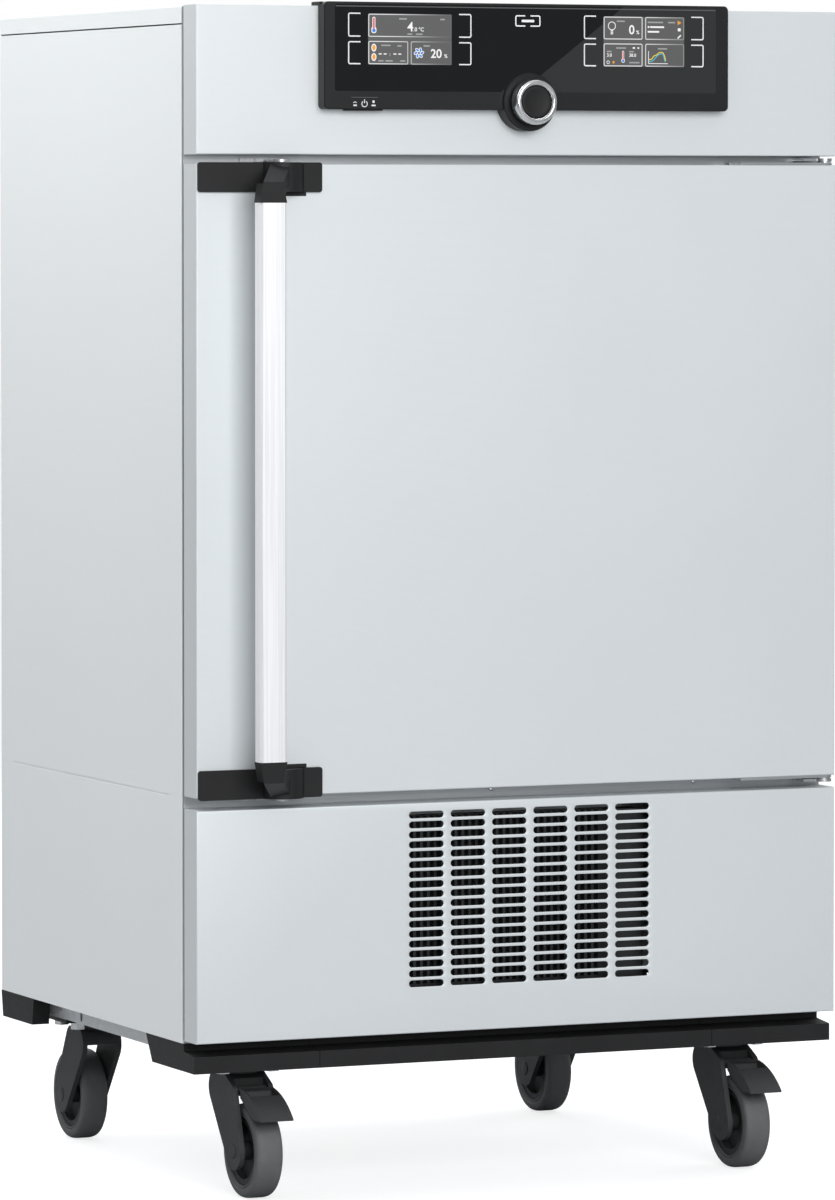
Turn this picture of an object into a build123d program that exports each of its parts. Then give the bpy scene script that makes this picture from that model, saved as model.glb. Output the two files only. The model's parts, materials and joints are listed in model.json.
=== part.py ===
from build123d import *
import math
import os

# A cooling incubator on four casters: cabinet, hinged door with a turning handle, glass inner door,
# control panel with a push and turn knob, heated and cooled chamber, refrigeration bay with a grille.
# Everything is drawn with y = 0 on the front panels' face, +Y towards the back, z = 0 on the floor
# and x = 0 in the middle, and is moved to the row's origin as it is written. Sizes are in millimetres.

# Clearances
CLEAR = 0.3
RUN = 0.05

# Cabinet outside
WIDTH = 745.0
DEPTH = 584.0
SHEET = 1.2
FOLD = 2.0
PANEL_FOLD = 1.5
LOWER_PANEL_RISE = 3.2
LOWER_PANEL_HEIGHT = 243.5
BOTTOM_GAP = 13.2
DOOR_HEIGHT = 660.3
TOP_GAP = 9.5
UPPER_PANEL_HEIGHT = 155.6
PANEL_RETURN = 35.0
CHASSIS_Y = 37.5
CHASSIS_SHEET = 1.5
SIDE_PANEL_Y = 41.5
SIDE_FLANGE = 28.0
REAR_FLANGE = 16.0
COVER_SKIRT = 18.6
COVER_SEAM = 1.5
GROOVE_RISE = 257.8
GROOVE_HEIGHT = 2.0
GROOVE_DEPTH = 0.6
GROOVE_INSET = 36.0
STILE_WIDTH = 27.8
STILE_THICK = 1.0
PANEL_POST = 8.0
POST_INSET = 36.5

# Casters
WHEEL_RADIUS = 50.0
TREAD_WIDTH = 30.0
TREAD_SHOULDER = 8.0
SHOULDER_SIDES = 2
TREAD_INNER = 37.0
HUB_WIDTH = 24.0
HUB_WEB = 8.0
HUB_RIM = 30.0
HUB_BOSS = 10.0
AXLE_RADIUS = 5.0
TRAIL = 41.0
LEG_GAP = 35.0
LEG_THICK = 5.5
LEG_END = 20.0
HEAD_Z = 112.0
HEAD_TOP = 129.8
HEAD_HALF = 27.0
RACE_RADIUS = 23.5
KINGPIN_RADIUS = 6.0
CASTER_HEIGHT = 139.0
CASTER_PLATE = 4.0
CASTER_PLATE_X = 94.0
CASTER_PLATE_Y = 75.0
BOLT_SPACE_X = 56.0
BOLT_SPACE_Y = 50.0
BOLT_ACROSS = 15.0
BOLT_HEAD = 6.4
BOLT_WASHER = 1.8
WASHER_SIDES = 12
CASTER_INSET = 86.7
FRONT_CASTER_Y = 98.0
REAR_CASTER_BACK = 61.0

# Brake pedals
PEDAL_WIDTH = 37.0
PEDAL_WALL = 2.0
PEDAL_PIVOT_OUT = 35.0
PEDAL_PIVOT_Z = 113.0
PEDAL_PIN = 3.0
PEDAL_BARREL = 5.0
PEDAL_BACK = 50.0
PEDAL_REACH = 107.0
PEDAL_TIP_Z = 90.0
PEDAL_SKIRT = 6.0
PEDAL_RISE = 4.0
PEDAL_CROWN = 6.0
PEDAL_TOE = 22.0

# Base frame
CROSS_HEIGHT = 24.2
CROSS_WIDTH = 70.0
PAN = 1.5
PAN_FRONT = 50.3
RAIL_HEIGHT = 17.2
RAIL_WIDTH = 20.0
RAIL_INSET = 20.0
RAIL_HOLE_LENGTH = 12.0
RAIL_HOLE_WIDTH = 6.0
RAIL_HOLE_BACK = 196.0
BAR_FACE_Y = 9.6
BAR_HEIGHT = 18.0
BAR_BOTTOM = 139.5
BAR_STEP_Y = 39.2
BAR_STEP_RISE = 3.0
BAR_INSET = 0.8
CORNER_LENGTH = 142.0
CORNER_SIDE_END = 146.6
CORNER_SLANT = 18.0
BAR_SEAM = 0.6
FOOT_LENGTH = 102.0
FOOT_SLANT = 5.0

# Chamber
CHAMBER_SIDE = 92.5
CHAMBER_REAR = 122.0
CHAMBER_RISE = 90.2
RECESS_MARGIN = 20.0
RECESS_DEPTH = 24.5
LINER = 1.0
LEDGE_OUT = 8.0
LEDGE_THICK = 2.5
LEDGE_GAP = 6.0
LEDGE_FIRST = 60.0
LEDGE_LAST = 69.6
LEDGE_COUNT = 6
LEDGE_END_GAP = 14.0
INSULATION_WALL = 75.0
INSULATION_BACK = 65.0
SEAL_OFFSET = 4.0
SEAL_WIDTH = 12.0
SEAL_RADIUS = 16.0

# Shelves
SHELF_LEVELS = (1, 3)
SHELF_SIDE_GAP = 1.0
SHELF_FRONT_GAP = 6.0
SHELF_BACK_GAP = 6.0
SHELF_THICK = 4.0
SHELF_FRAME = 8.0
SHELF_RODS = 13
SHELF_ROD = 3.0

# Air baffle and chamber fan
BAFFLE_SIDE = 30.0
BAFFLE_END = 30.0
BAFFLE_STAND = 22.0
BAFFLE_INTAKES = 12
INTAKE_LENGTH = 34.0
INTAKE_WIDTH = 7.0
INTAKE_RADIUS = 34.0
OUTLET_COUNT = 8
OUTLET_HEIGHT = 30.0
OUTLET_WIDTH = 6.0
OUTLET_INSET = 18.0
CHAMBER_FAN_RADIUS = 56.0
CHAMBER_FAN_HUB = 14.0
CHAMBER_FAN_DEPTH = 11.0
CHAMBER_FAN_BLADES = 8
FAN_BLADE = 1.6
FAN_SHAFT = 4.0
FAN_SHAFT_BACK = 30.0
MOTOR_HOLLOW = 12.0

# Glass door
GLASS_THICK = 5.0
GLASS_SIDE_GAP = 2.0
GLASS_END_GAP = 10.0
GLASS_Y = 47.2
GLASS_PIVOT_INSET = 8.0
GLASS_PIVOT_Y = 44.0
GLASS_PIN = 3.0
GLASS_CLIP = 34.0
GLASS_CLIP_HEIGHT = 30.0
GLASS_BRACKET = 8.0
GLASS_KNOB_RADIUS = 7.0
GLASS_KNOB_LENGTH = 12.0

# Outer door
INNER_PANEL_Y = 30.0
INNER_PANEL_DROP = 9.0
INNER_PANEL_MARGIN = 86.0
HINGE_X_INSET = 9.0
HINGE_Y = 9.0
HINGE_PIN = 4.0
HINGE_KNUCKLE = 8.5
HINGE_PIN_DEPTH = 14.0
LEAF_THICK = 2.5
LEAF_LENGTH = 113.0
LEAF_BACK = 30.0
BRACKET_THICK = 3.0
BRACKET_WIDTH = 48.0
BRACKET_BOSS = 1.5

# Handle
HANDLE_REACH = 56.0
HANDLE_PIVOT_X = 97.0
HANDLE_PIVOT_Y = 5.0
DRUM_RADIUS = 24.0
DRUM_CORE = 10.0
DRUM_REST_ANGLE = 65.0
DRUM_CHORD = 2.3
HANDLE_PLATE_LEFT = 1.1
HANDLE_PLATE_RIGHT = 140.9
HANDLE_PLATE_HEIGHT = 31.2
HANDLE_PLATE_THICK = 3.0
HANDLE_PLATE_OVERHANG = 2.4
HANDLE_PLATE_CORNER = 3.0
CUP_MARGIN = 3.0
CUP_BACK = 19.5
CUP_WEB = 4.0
CUP_WALL = 1.8
BAR_LEFT = 49.3
BAR_WIDTH = 29.7
BAR_THICK = 18.0
BAR_CHAMFER = 2.5
BAR_END_GAP = 11.0
CAP_LENGTH = 20.0
ARM_WIDTH = 22.5
ARM_LEFT = 52.2
ARM_FRONT_DROP = 20.6
ARM_BACK_DROP = 5.2
ARM_HEIGHT = 18.0
ARM_ROOT_Y = -10.0
HANDLE_PIN = 4.0

# Latch
HOOK_THICK = 2.5
HOOK_CLEAR = 0.7
HOOK_RADIUS = 22.0
HOOK_WIDTH = 16.0
HOOK_HUB = 8.8
HOOK_NOTCH = 5.0
HOOK_NOTCH_OUT = 16.5
HOOK_NOTCH_SIDE = 7.2
STRIKER_TEETH = 3
STRIKER_PITCH = 17.0
STRIKER_TOOTH = 9.0
STRIKER_REACH = 7.0
STRIKER_THICK = 3.6
STRIKER_BACK = 2.0
STRIKER_LEFT = 62.0

# Control panel
COCKPIT_WIDTH = 470.0
COCKPIT_HEIGHT = 112.3
COCKPIT_OUT = 16.5
COCKPIT_LIP = 4.3
COCKPIT_LIP_BACK = 18.0
COCKPIT_CORNER = 5.0
COCKPIT_FOLD = 1.0
COCKPIT_TUB_INSET = 20.0
COCKPIT_TUB_BACK = 24.0
PANE_SIDE = 12.0
PANE_RIGHT = 14.6
PANE_BOTTOM = 19.0
PANE_TOP = 2.5
PANE_THICK = 3.0
PANE_SINK = 0.3
PANE_CORNER = 2.5
SCREEN_WIDTH = 95.4
SCREEN_HEIGHT = 53.0
SCREEN_THICK = 4.0
SCREEN_SPREAD = 136.0
SCREEN_DROP = 12.4
KNOB_RISE = 8.5
BUMP_RADIUS = 30.7
BUMP_OUT = 3.0
KNOB_RADIUS = 24.1
KNOB_CAP_RADIUS = 17.0
KNOB_SKIRT_RADIUS = 21.5
KNOB_FRONT = 38.5
KNOB_RING_DEPTH = 14.0
KNOB_SKIRT = 2.7
KNOB_CAP_SINK = 1.5
KNOB_ROUND = 3.0
SPINDLE_RADIUS = 5.0
SPINDLE_END_GAP = 4.0
SPINDLE_SOCKET = 14.0
SWITCH_WIDTH = 41.0
SWITCH_LEFT = 27.0
SWITCH_DEPTH = 10.0
SWITCH_HEIGHT = 13.0
SWITCH_OUT = 1.5
SWITCH_BACK = 3.0

# Grille and refrigeration bay
SLOT_LENGTH = 40.0
SLOT_HEIGHT = 7.3
SLOT_END_SIDES = 4
SLOT_COLUMNS = 6
SLOT_ROWS = 18
SLOT_PITCH_X = 48.14
SLOT_PITCH_Z = 10.5
SLOT_CENTRE_X = 9.1
SLOT_TOP_DROP = 12.6
CONDENSER_LEFT = -145.0
CONDENSER_RIGHT = 104.0
CONDENSER_Y = 16.0
CONDENSER_THICK = 44.0
CONDENSER_BASE = 222.0
CONDENSER_TOP_DROP = 16.0
CONDENSER_END = 3.0
FIN_PITCH = 8.0
FIN_GAP = 5.0
FIN_DEPTH = 10.0
SIDE_PLATE_X = 150.0
TRAY_WALL = 3.0
BAY_OPENING_SIDE = 42.5
BAY_OPENING_MARGIN = 15.4
SHROUD_WIDTH = 236.0
SHROUD_THICK = 3.0
SHROUD_Y = 72.0
FAN_RADIUS = 80.0
FAN_TIP_GAP = 4.0
FAN_HUB = 24.0
FAN_DEPTH = 22.0
FAN_BLADES = 5
FAN_TILT = 32.0
FAN_BLADE_SHARE = 0.9
MOTOR_RADIUS = 34.0
MOTOR_DEPTH = 42.0
MOTOR_ARM = 10.0
COMPRESSOR_SIDE = 157.5
COMPRESSOR_BACK = 184.0
COMPRESSOR_RADIUS = 74.0
COMPRESSOR_HEIGHT = 168.0
COMPRESSOR_DOME = 33.0
COMPRESSOR_PLATE = 176.0
COMPRESSOR_FOOT = 14.0
COMPRESSOR_FOOT_HEIGHT = 16.0

# Rear
VENT_WIDTH = 90.0
VENT_HEIGHT = 6.0
VENT_COLUMNS = 3
VENT_ROWS = 7
VENT_PITCH_X = 110.0
VENT_PITCH_Z = 16.0
VENT_RISE = 120.0
VENT_X = -110.0
INLET_WIDTH = 48.0
INLET_HEIGHT = 28.0
INLET_DEPTH = 24.0
INLET_SIDE = 122.5
INLET_RISE = 80.0
INLET_FLANGE = 3.0
INLET_PIN_WIDTH = 4.0
INLET_PIN_THICK = 2.0
INLET_PIN_SPACE = 7.0

# Levels above the floor
PLATE_TOP = CASTER_HEIGHT + CASTER_PLATE
BASE_TOP = PLATE_TOP + CROSS_HEIGHT + PAN
PAN_BOTTOM = BASE_TOP - PAN
LOWER_BOTTOM = BASE_TOP + LOWER_PANEL_RISE
LOWER_TOP = LOWER_BOTTOM + LOWER_PANEL_HEIGHT
DOOR_BOTTOM = LOWER_TOP + BOTTOM_GAP
DOOR_TOP = DOOR_BOTTOM + DOOR_HEIGHT
UPPER_BOTTOM = DOOR_TOP + TOP_GAP
TOP = UPPER_BOTTOM + UPPER_PANEL_HEIGHT
SIDE_TOP = TOP - COVER_SKIRT - COVER_SEAM
CHAMBER_BOTTOM = DOOR_BOTTOM + CHAMBER_RISE
CHAMBER_TOP = DOOR_TOP - CHAMBER_RISE
CHAMBER_MIDDLE = (CHAMBER_BOTTOM + CHAMBER_TOP) / 2
INSULATION_BOTTOM = CHAMBER_BOTTOM - INSULATION_WALL
INSULATION_TOP = CHAMBER_TOP + INSULATION_WALL
LEDGE_PITCH = (CHAMBER_TOP - CHAMBER_BOTTOM - LEDGE_FIRST - LEDGE_LAST) / (LEDGE_COUNT - 1)
COCKPIT_TOP = TOP + COCKPIT_LIP
COCKPIT_BOTTOM = COCKPIT_TOP - COCKPIT_HEIGHT
KNOB_Z = COCKPIT_BOTTOM + KNOB_RISE

# Places across and along the cabinet
HALF = WIDTH / 2
INSIDE = HALF - SHEET
MOUTH_Y = CHASSIS_Y + RECESS_DEPTH
CHAMBER_BACK = DEPTH - CHAMBER_REAR
CHAMBER_X = HALF - CHAMBER_SIDE
RECESS_X = CHAMBER_X + RECESS_MARGIN
RECESS_BOTTOM = CHAMBER_BOTTOM - RECESS_MARGIN
RECESS_TOP = CHAMBER_TOP + RECESS_MARGIN
HINGE_X = HALF - HINGE_X_INSET
PIVOT_X = -HALF + HANDLE_PIVOT_X
GLASS_PIVOT_X = RECESS_X - GLASS_PIVOT_INSET
CASTER_X = HALF - CASTER_INSET
REAR_CASTER_Y = DEPTH - REAR_CASTER_BACK
COMPRESSOR_X = HALF - COMPRESSOR_SIDE
COMPRESSOR_Y = DEPTH - COMPRESSOR_BACK
INLET_X = HALF - INLET_SIDE

# The row's origin is the middle of the floor under the whole object
REAR_REACH = REAR_CASTER_Y + TRAIL + WHEEL_RADIUS
SHIFT_Y = (HANDLE_REACH - REAR_REACH) / 2


def block(x, y, z):
    """A box between pairs of limits along each axis."""
    size = (x[1] - x[0], y[1] - y[0], z[1] - z[0])
    middle = ((x[0] + x[1]) / 2, (y[0] + y[1]) / 2, (z[0] + z[1]) / 2)
    return Pos(*middle) * Box(*size)


def from_front(sketch, y):
    """Extrude an x, z sketch between two depths."""
    plane = Plane(origin=(0, y[1], 0), x_dir=(1, 0, 0), z_dir=(0, -1, 0))
    return extrude(plane * sketch, amount=y[1] - y[0])


def from_side(sketch, x):
    """Extrude a y, z sketch between two widths."""
    plane = Plane(origin=(x[0], 0, 0), x_dir=(0, 1, 0), z_dir=(1, 0, 0))
    return extrude(plane * sketch, amount=x[1] - x[0])


def from_above(sketch, z):
    """Extrude an x, y sketch between two heights."""
    return extrude(Plane.XY.offset(z[0]) * sketch, amount=z[1] - z[0])


def outline(points):
    """A flat face inside a closed line of points."""
    return make_face(Polyline(*points, close=True))


def upright(x, y, z, radius):
    """A vertical cylinder between two heights."""
    return from_above(Pos(x, y) * Circle(radius), z)


def through_y(x, z, y, radius):
    """A cylinder along y between two depths."""
    return from_front(Pos(x, z) * Circle(radius), y)


def through_x(y, z, x, radius):
    """A cylinder along x between two widths."""
    return from_side(Pos(y, z) * Circle(radius), x)


def spread(sketch, places):
    """A flat face repeated at several places."""
    return Sketch() + [place * sketch for place in places]


def mirrored(shape):
    """A shape with its twin across the middle plane."""
    return [shape, mirror(shape, about=Plane.YZ)]


def save(name, *solids):
    """Move a node to the row's origin and write it."""
    group = []
    for item in solids:
        group += item if isinstance(item, (list, ShapeList)) else [item]
    pieces = []
    for item in group:
        pieces += [Pos(0, SHIFT_Y, 0) * solid for solid in item.solids()]
    shape = pieces[0] if len(pieces) == 1 else Compound(children=pieces)
    export_step(shape, f"parts/{name}.step")


def pan(x, y, z, wall, fold=0):
    """A sheet metal tray that opens to the back, with folded front edges."""
    hollow = block((x[0] + wall, x[1] - wall), (y[0] + wall, y[1] + 1), (z[0] + wall, z[1] - wall))
    body = block(x, y, z)
    if fold:
        body = fillet(body.edges().group_by(Axis.Y)[0], fold)
    return body - hollow


def panel_posts(z):
    """Posts that hold a front panel off the chassis."""
    x = HALF - POST_INSET
    low = z[0] + POST_INSET
    high = z[1] - POST_INSET
    half = PANEL_POST / 2
    posts = []
    for px in (-x, x):
        for pz in (low, high):
            posts.append(block((px - half, px + half), (SHEET, CHASSIS_Y), (pz - half, pz + half)))
    return posts


def side_panel():
    """The right side cover with folded front and rear flanges and a pressed line."""
    z = (BASE_TOP, SIDE_TOP)
    skin = block((HALF - SIDE_FLANGE, HALF), (SIDE_PANEL_Y, DEPTH), z)
    folds = skin.edges().filter_by(Axis.Z).group_by(Axis.X)[-1]
    skin = fillet(folds, FOLD)
    inside = (SIDE_PANEL_Y + SHEET, DEPTH - SHEET)
    skin -= block((HALF - SIDE_FLANGE - 1, INSIDE), inside, z)
    skin -= block((HALF - SIDE_FLANGE - 1, HALF - REAR_FLANGE), (inside[0], DEPTH + 1), z)
    groove_z = BASE_TOP + GROOVE_RISE
    length = (SIDE_PANEL_Y + GROOVE_INSET, DEPTH - GROOVE_INSET)
    height = (groove_z - GROOVE_HEIGHT / 2, groove_z + GROOVE_HEIGHT / 2)
    return skin - block((HALF - GROOVE_DEPTH, HALF + 1), length, height)


def top_cover():
    """The lid with its skirt, open at the bottom."""
    outside = block((-HALF, HALF), (SIDE_PANEL_Y, DEPTH), (TOP - COVER_SKIRT, TOP))
    rim = outside.edges().group_by(Axis.Z)[-1] + outside.edges().filter_by(Axis.Z)
    outside = fillet(rim, FOLD)
    inside = (SIDE_PANEL_Y + SHEET, DEPTH - SHEET)
    return outside - block((-INSIDE, INSIDE), inside, (TOP - COVER_SKIRT - 1, TOP - SHEET))


def rear_panel():
    """The back sheet with the refrigeration bay's vents and the inlet's cut-out."""
    y = (DEPTH - 2 * SHEET, DEPTH - SHEET)
    sheet = block((-INSIDE, INSIDE), y, (BASE_TOP, TOP - SHEET))
    vents = GridLocations(VENT_PITCH_X, VENT_PITCH_Z, VENT_COLUMNS, VENT_ROWS)
    slots = Pos(VENT_X, BASE_TOP + VENT_RISE) * spread(Rectangle(VENT_WIDTH, VENT_HEIGHT), vents)
    sheet -= from_front(slots, (y[0] - 1, y[1] + 1))
    x = (INLET_X - INLET_WIDTH / 2, INLET_X + INLET_WIDTH / 2)
    z = (BASE_TOP + INLET_RISE, BASE_TOP + INLET_RISE + INLET_HEIGHT)
    return sheet - block(x, (y[0] - 1, y[1] + 1), z)


def front_frame():
    """The chassis front: uprights with folded webs, the latch side's stile, and the cross rails."""
    y = (CHASSIS_Y, CHASSIS_Y + CHASSIS_SHEET)
    low = LOWER_BOTTOM + SHEET
    high = TOP - SHEET
    inner = HALF - BAY_OPENING_SIDE
    web_x = (HALF - SIDE_FLANGE - CLEAR - SHEET, HALF - SIDE_FLANGE - CLEAR)
    right = block((inner, HALF), y, (low, high))
    right += block(web_x, (y[0], MOUTH_Y - SHEET), (low, SIDE_TOP))
    right += block(web_x, (PAN_FRONT, MOUTH_Y - SHEET), (BASE_TOP, low))
    left = mirror(right, about=Plane.YZ)
    left += block((-HALF, -HALF + STILE_WIDTH), (CHASSIS_Y - STILE_THICK, y[0]), (low, high))
    solids = [left, right] + mirrored(block((RECESS_X, inner), y, (RECESS_BOTTOM, RECESS_TOP)))
    rails = [(low, low + BAY_OPENING_MARGIN - SHEET), (LOWER_TOP - BAY_OPENING_MARGIN, RECESS_BOTTOM)]
    rails += [(RECESS_TOP, UPPER_BOTTOM + BAY_OPENING_MARGIN), (TOP - BAY_OPENING_MARGIN, high)]
    for z in rails:
        solids.append(block((-inner, inner), y, z))
    return solids


def chamber_liner():
    """The chamber's steel box: recess for the glass door, mouth flange, walls and shelf ledges."""
    half = CHAMBER_X
    outer = block((-half - LINER, half + LINER), (MOUTH_Y, CHAMBER_BACK + LINER),
                  (CHAMBER_BOTTOM - LINER, CHAMBER_TOP + LINER))
    recess_y = CHASSIS_Y + CHASSIS_SHEET
    outer += block((-RECESS_X - LINER, RECESS_X + LINER), (recess_y, MOUTH_Y + LINER),
                   (RECESS_BOTTOM - LINER, RECESS_TOP + LINER))
    outer -= block((-RECESS_X, RECESS_X), (recess_y - 1, MOUTH_Y), (RECESS_BOTTOM, RECESS_TOP))
    outer -= block((-half, half), (recess_y - 1, CHAMBER_BACK), (CHAMBER_BOTTOM, CHAMBER_TOP))
    outer -= through_y(0, CHAMBER_MIDDLE, (CHAMBER_BACK - 1, CHAMBER_BACK + LINER + 1), FAN_SHAFT + RUN)
    y = (MOUTH_Y + SHELF_FRONT_GAP, CHAMBER_BACK - BAFFLE_STAND - LEDGE_END_GAP)
    for level in range(LEDGE_COUNT):
        z = CHAMBER_BOTTOM + LEDGE_FIRST + level * LEDGE_PITCH
        for side in (-1, 1):
            x = sorted((side * half, side * (half - LEDGE_OUT)))
            outer += block(x, y, (z - LEDGE_THICK, z))
            outer += block(x, y, (z + LEDGE_GAP, z + LEDGE_GAP + LEDGE_THICK))
    return outer


def chamber_insulation():
    """The insulating block round the chamber, with the fan motor's hollow."""
    half = CHAMBER_X + LINER
    back = CHAMBER_BACK + INSULATION_BACK
    side = INSIDE - CLEAR
    body = block((-side, side), (MOUTH_Y + LINER, back), (INSULATION_BOTTOM, INSULATION_TOP))
    inside_z = (CHAMBER_BOTTOM - LINER, CHAMBER_TOP + LINER)
    body -= block((-half, half), (MOUTH_Y, CHAMBER_BACK + LINER), inside_z)
    return body - through_y(0, CHAMBER_MIDDLE, (CHAMBER_BACK, back + 1), MOTOR_HOLLOW)


def chamber_seal():
    """The soft ring on the chassis that the outer door closes on."""
    width = 2 * (RECESS_X + SEAL_OFFSET)
    height = RECESS_TOP - RECESS_BOTTOM + 2 * SEAL_OFFSET
    outer = RectangleRounded(width + 2 * SEAL_WIDTH, height + 2 * SEAL_WIDTH, SEAL_RADIUS)
    inner = RectangleRounded(width, height, SEAL_RADIUS - SEAL_WIDTH)
    middle = (RECESS_TOP + RECESS_BOTTOM) / 2
    return from_front(Pos(0, middle) * (outer - inner), (INNER_PANEL_Y + CLEAR, CHASSIS_Y))


def upper_front_panel():
    """The panel behind the controls, with the hole that the control housing's tub passes."""
    z = (UPPER_BOTTOM, TOP)
    panel = pan((-HALF, HALF), (0, PANEL_RETURN), z, SHEET, PANEL_FOLD)
    half = COCKPIT_WIDTH / 2 - COCKPIT_TUB_INSET
    hole_z = (COCKPIT_BOTTOM + COCKPIT_TUB_INSET, COCKPIT_TOP - COCKPIT_TUB_INSET)
    panel -= block((-half, half), (-1, SHEET + 1), hole_z)
    return panel + panel_posts(z)


def air_slot():
    """One long slot, its round ends drawn with a few short sides."""
    radius = SLOT_HEIGHT / 2
    points = []
    for side in (1, -1):
        for step in range(SLOT_END_SIDES + 1):
            angle = math.radians(side * 90 - step * 180 / SLOT_END_SIDES)
            x = side * (SLOT_LENGTH / 2 - radius) + radius * math.cos(angle)
            points.append((x, radius * math.sin(angle)))
    return outline(points)


def lower_front_panel():
    """The panel of the refrigeration bay, with its pattern of long round-ended air slots."""
    z = (LOWER_BOTTOM, LOWER_TOP)
    panel = pan((-HALF, HALF), (0, PANEL_RETURN), z, SHEET, PANEL_FOLD)
    middle = LOWER_TOP - SLOT_TOP_DROP - (SLOT_ROWS - 1) * SLOT_PITCH_Z / 2
    grid = GridLocations(SLOT_PITCH_X, SLOT_PITCH_Z, SLOT_COLUMNS, SLOT_ROWS)
    slots = Pos(SLOT_CENTRE_X, middle) * spread(air_slot(), grid)
    panel -= from_front(slots, (-1, SHEET + 1))
    return panel + panel_posts(z)


def base_frame():
    """Floor pan, side rails and the cross members that carry the caster plates."""
    rail_x = (HALF - RAIL_INSET - RAIL_WIDTH, HALF - RAIL_INSET - CLEAR)
    length = (PAN_FRONT + CLEAR, DEPTH - 2 * SHEET - CLEAR)
    solids = [block((-rail_x[1], rail_x[1]), length, (PAN_BOTTOM, BASE_TOP))]
    rail_z = (PAN_BOTTOM - RAIL_HEIGHT, PAN_BOTTOM)
    rail = block(rail_x, length, rail_z)
    hole = SlotOverall(RAIL_HOLE_LENGTH, RAIL_HOLE_WIDTH, rotation=90)
    place = Pos(DEPTH - RAIL_HOLE_BACK, (rail_z[0] + rail_z[1]) / 2)
    rail -= from_side(place * hole, (rail_x[0] - 1, rail_x[1] + 1))
    solids += mirrored(rail)
    for y in (FRONT_CASTER_Y, REAR_CASTER_Y):
        span = (y - CROSS_WIDTH / 2, y + CROSS_WIDTH / 2)
        solids.append(block((-rail_x[0], rail_x[0]), span, (PLATE_TOP, PAN_BOTTOM)))
    return solids


def bar_profile(back):
    """The stepped side outline shared by the front bar and its corner pieces."""
    low = BAR_BOTTOM
    top = BASE_TOP - CLEAR
    ledge = low + BAR_HEIGHT
    front = [(BAR_FACE_Y, low), (BAR_FACE_Y, ledge), (BAR_STEP_Y, ledge + BAR_STEP_RISE), (BAR_STEP_Y, top)]
    return outline(front + back)


def front_bar():
    """The middle bar under the front panel."""
    top = BASE_TOP - CLEAR
    half = HALF - BAR_INSET - CORNER_LENGTH - BAR_SEAM
    return from_side(bar_profile([(PAN_FRONT, top), (PAN_FRONT, BAR_BOTTOM)]), (-half, half))


def front_corner():
    """The right corner piece: the front bar's outline carried round under the side panel."""
    top = BASE_TOP - CLEAR
    end = HALF - BAR_INSET
    front = from_side(bar_profile([(PAN_FRONT, top), (PAN_FRONT, BAR_BOTTOM)]), (end - CORNER_LENGTH, end))
    back = [(CORNER_SIDE_END, top), (CORNER_SIDE_END - CORNER_SLANT, BAR_BOTTOM)]
    return front + from_side(bar_profile(back), (HALF - RAIL_INSET, end))


def rear_foot():
    """The right rear block under the side panel."""
    top = BASE_TOP - CLEAR
    points = [(DEPTH - FOOT_LENGTH, top), (DEPTH - FOOT_LENGTH + FOOT_SLANT, BAR_BOTTOM)]
    points += [(DEPTH - FOOT_SLANT, BAR_BOTTOM), (DEPTH, top)]
    return from_side(outline(points), (HALF - RAIL_INSET, HALF))


def condenser():
    """Fin pack between end plates on its tray, with the plate that closes the bay beside it."""
    y = (CONDENSER_Y, CONDENSER_Y + CONDENSER_THICK)
    top = LOWER_TOP - CONDENSER_TOP_DROP
    left = CONDENSER_LEFT + CONDENSER_END
    right = CONDENSER_RIGHT - CONDENSER_END
    count = int((right - left) / FIN_PITCH)
    fins = block((left, right), y, (CONDENSER_BASE, top))
    for index in range(count):
        x = left + (index + 0.5) * FIN_PITCH
        gap = (x - FIN_GAP / 2, x + FIN_GAP / 2)
        fins -= block(gap, (y[0] - 1, y[0] + FIN_DEPTH), (CONDENSER_BASE - 1, top + 1))
    ends = [block((CONDENSER_LEFT, left), y, (CONDENSER_BASE, top))]
    ends.append(block((right, CONDENSER_RIGHT), y, (CONDENSER_BASE, top)))
    side_plate = block((CONDENSER_RIGHT, SIDE_PLATE_X), (y[0], y[0] + TRAY_WALL), (CONDENSER_BASE, top))
    shelf_z = LOWER_BOTTOM + BAY_OPENING_MARGIN + CLEAR
    tray = block((CONDENSER_LEFT, SIDE_PLATE_X), y, (shelf_z, CONDENSER_BASE))
    foot_y = (y[1] - TRAY_WALL, y[1])
    tray += block((CONDENSER_LEFT, SIDE_PLATE_X), foot_y, (BASE_TOP, shelf_z))
    return [fins, *ends, side_plate, tray]


def fan_shroud():
    """Plate with the fan's round opening, and the motor on arms behind it."""
    x = (CONDENSER_LEFT + CONDENSER_RIGHT) / 2
    top = LOWER_TOP - CONDENSER_TOP_DROP
    z = (CONDENSER_BASE + top) / 2
    y = (SHROUD_Y, SHROUD_Y + SHROUD_THICK)
    plate = block((x - SHROUD_WIDTH / 2, x + SHROUD_WIDTH / 2), y, (BASE_TOP, top))
    plate -= through_y(x, z, (y[0] - 1, y[1] + 1), FAN_RADIUS + FAN_TIP_GAP)
    motor_y = y[1] + FAN_DEPTH
    arms = block((x - SHROUD_WIDTH / 2, x + SHROUD_WIDTH / 2), (motor_y, motor_y + SHROUD_THICK),
                 (z - MOTOR_ARM, z + MOTOR_ARM))
    for side in (-1, 1):
        leg = sorted((x + side * SHROUD_WIDTH / 2, x + side * (SHROUD_WIDTH / 2 - SHROUD_THICK)))
        arms += block(leg, (y[1], motor_y), (z - MOTOR_ARM, z + MOTOR_ARM))
    arms += through_y(x, z, (motor_y, motor_y + MOTOR_DEPTH), MOTOR_RADIUS)
    arms -= through_y(x, z, (motor_y - 1, motor_y + MOTOR_DEPTH / 2), FAN_SHAFT + RUN)
    return plate + arms


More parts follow.
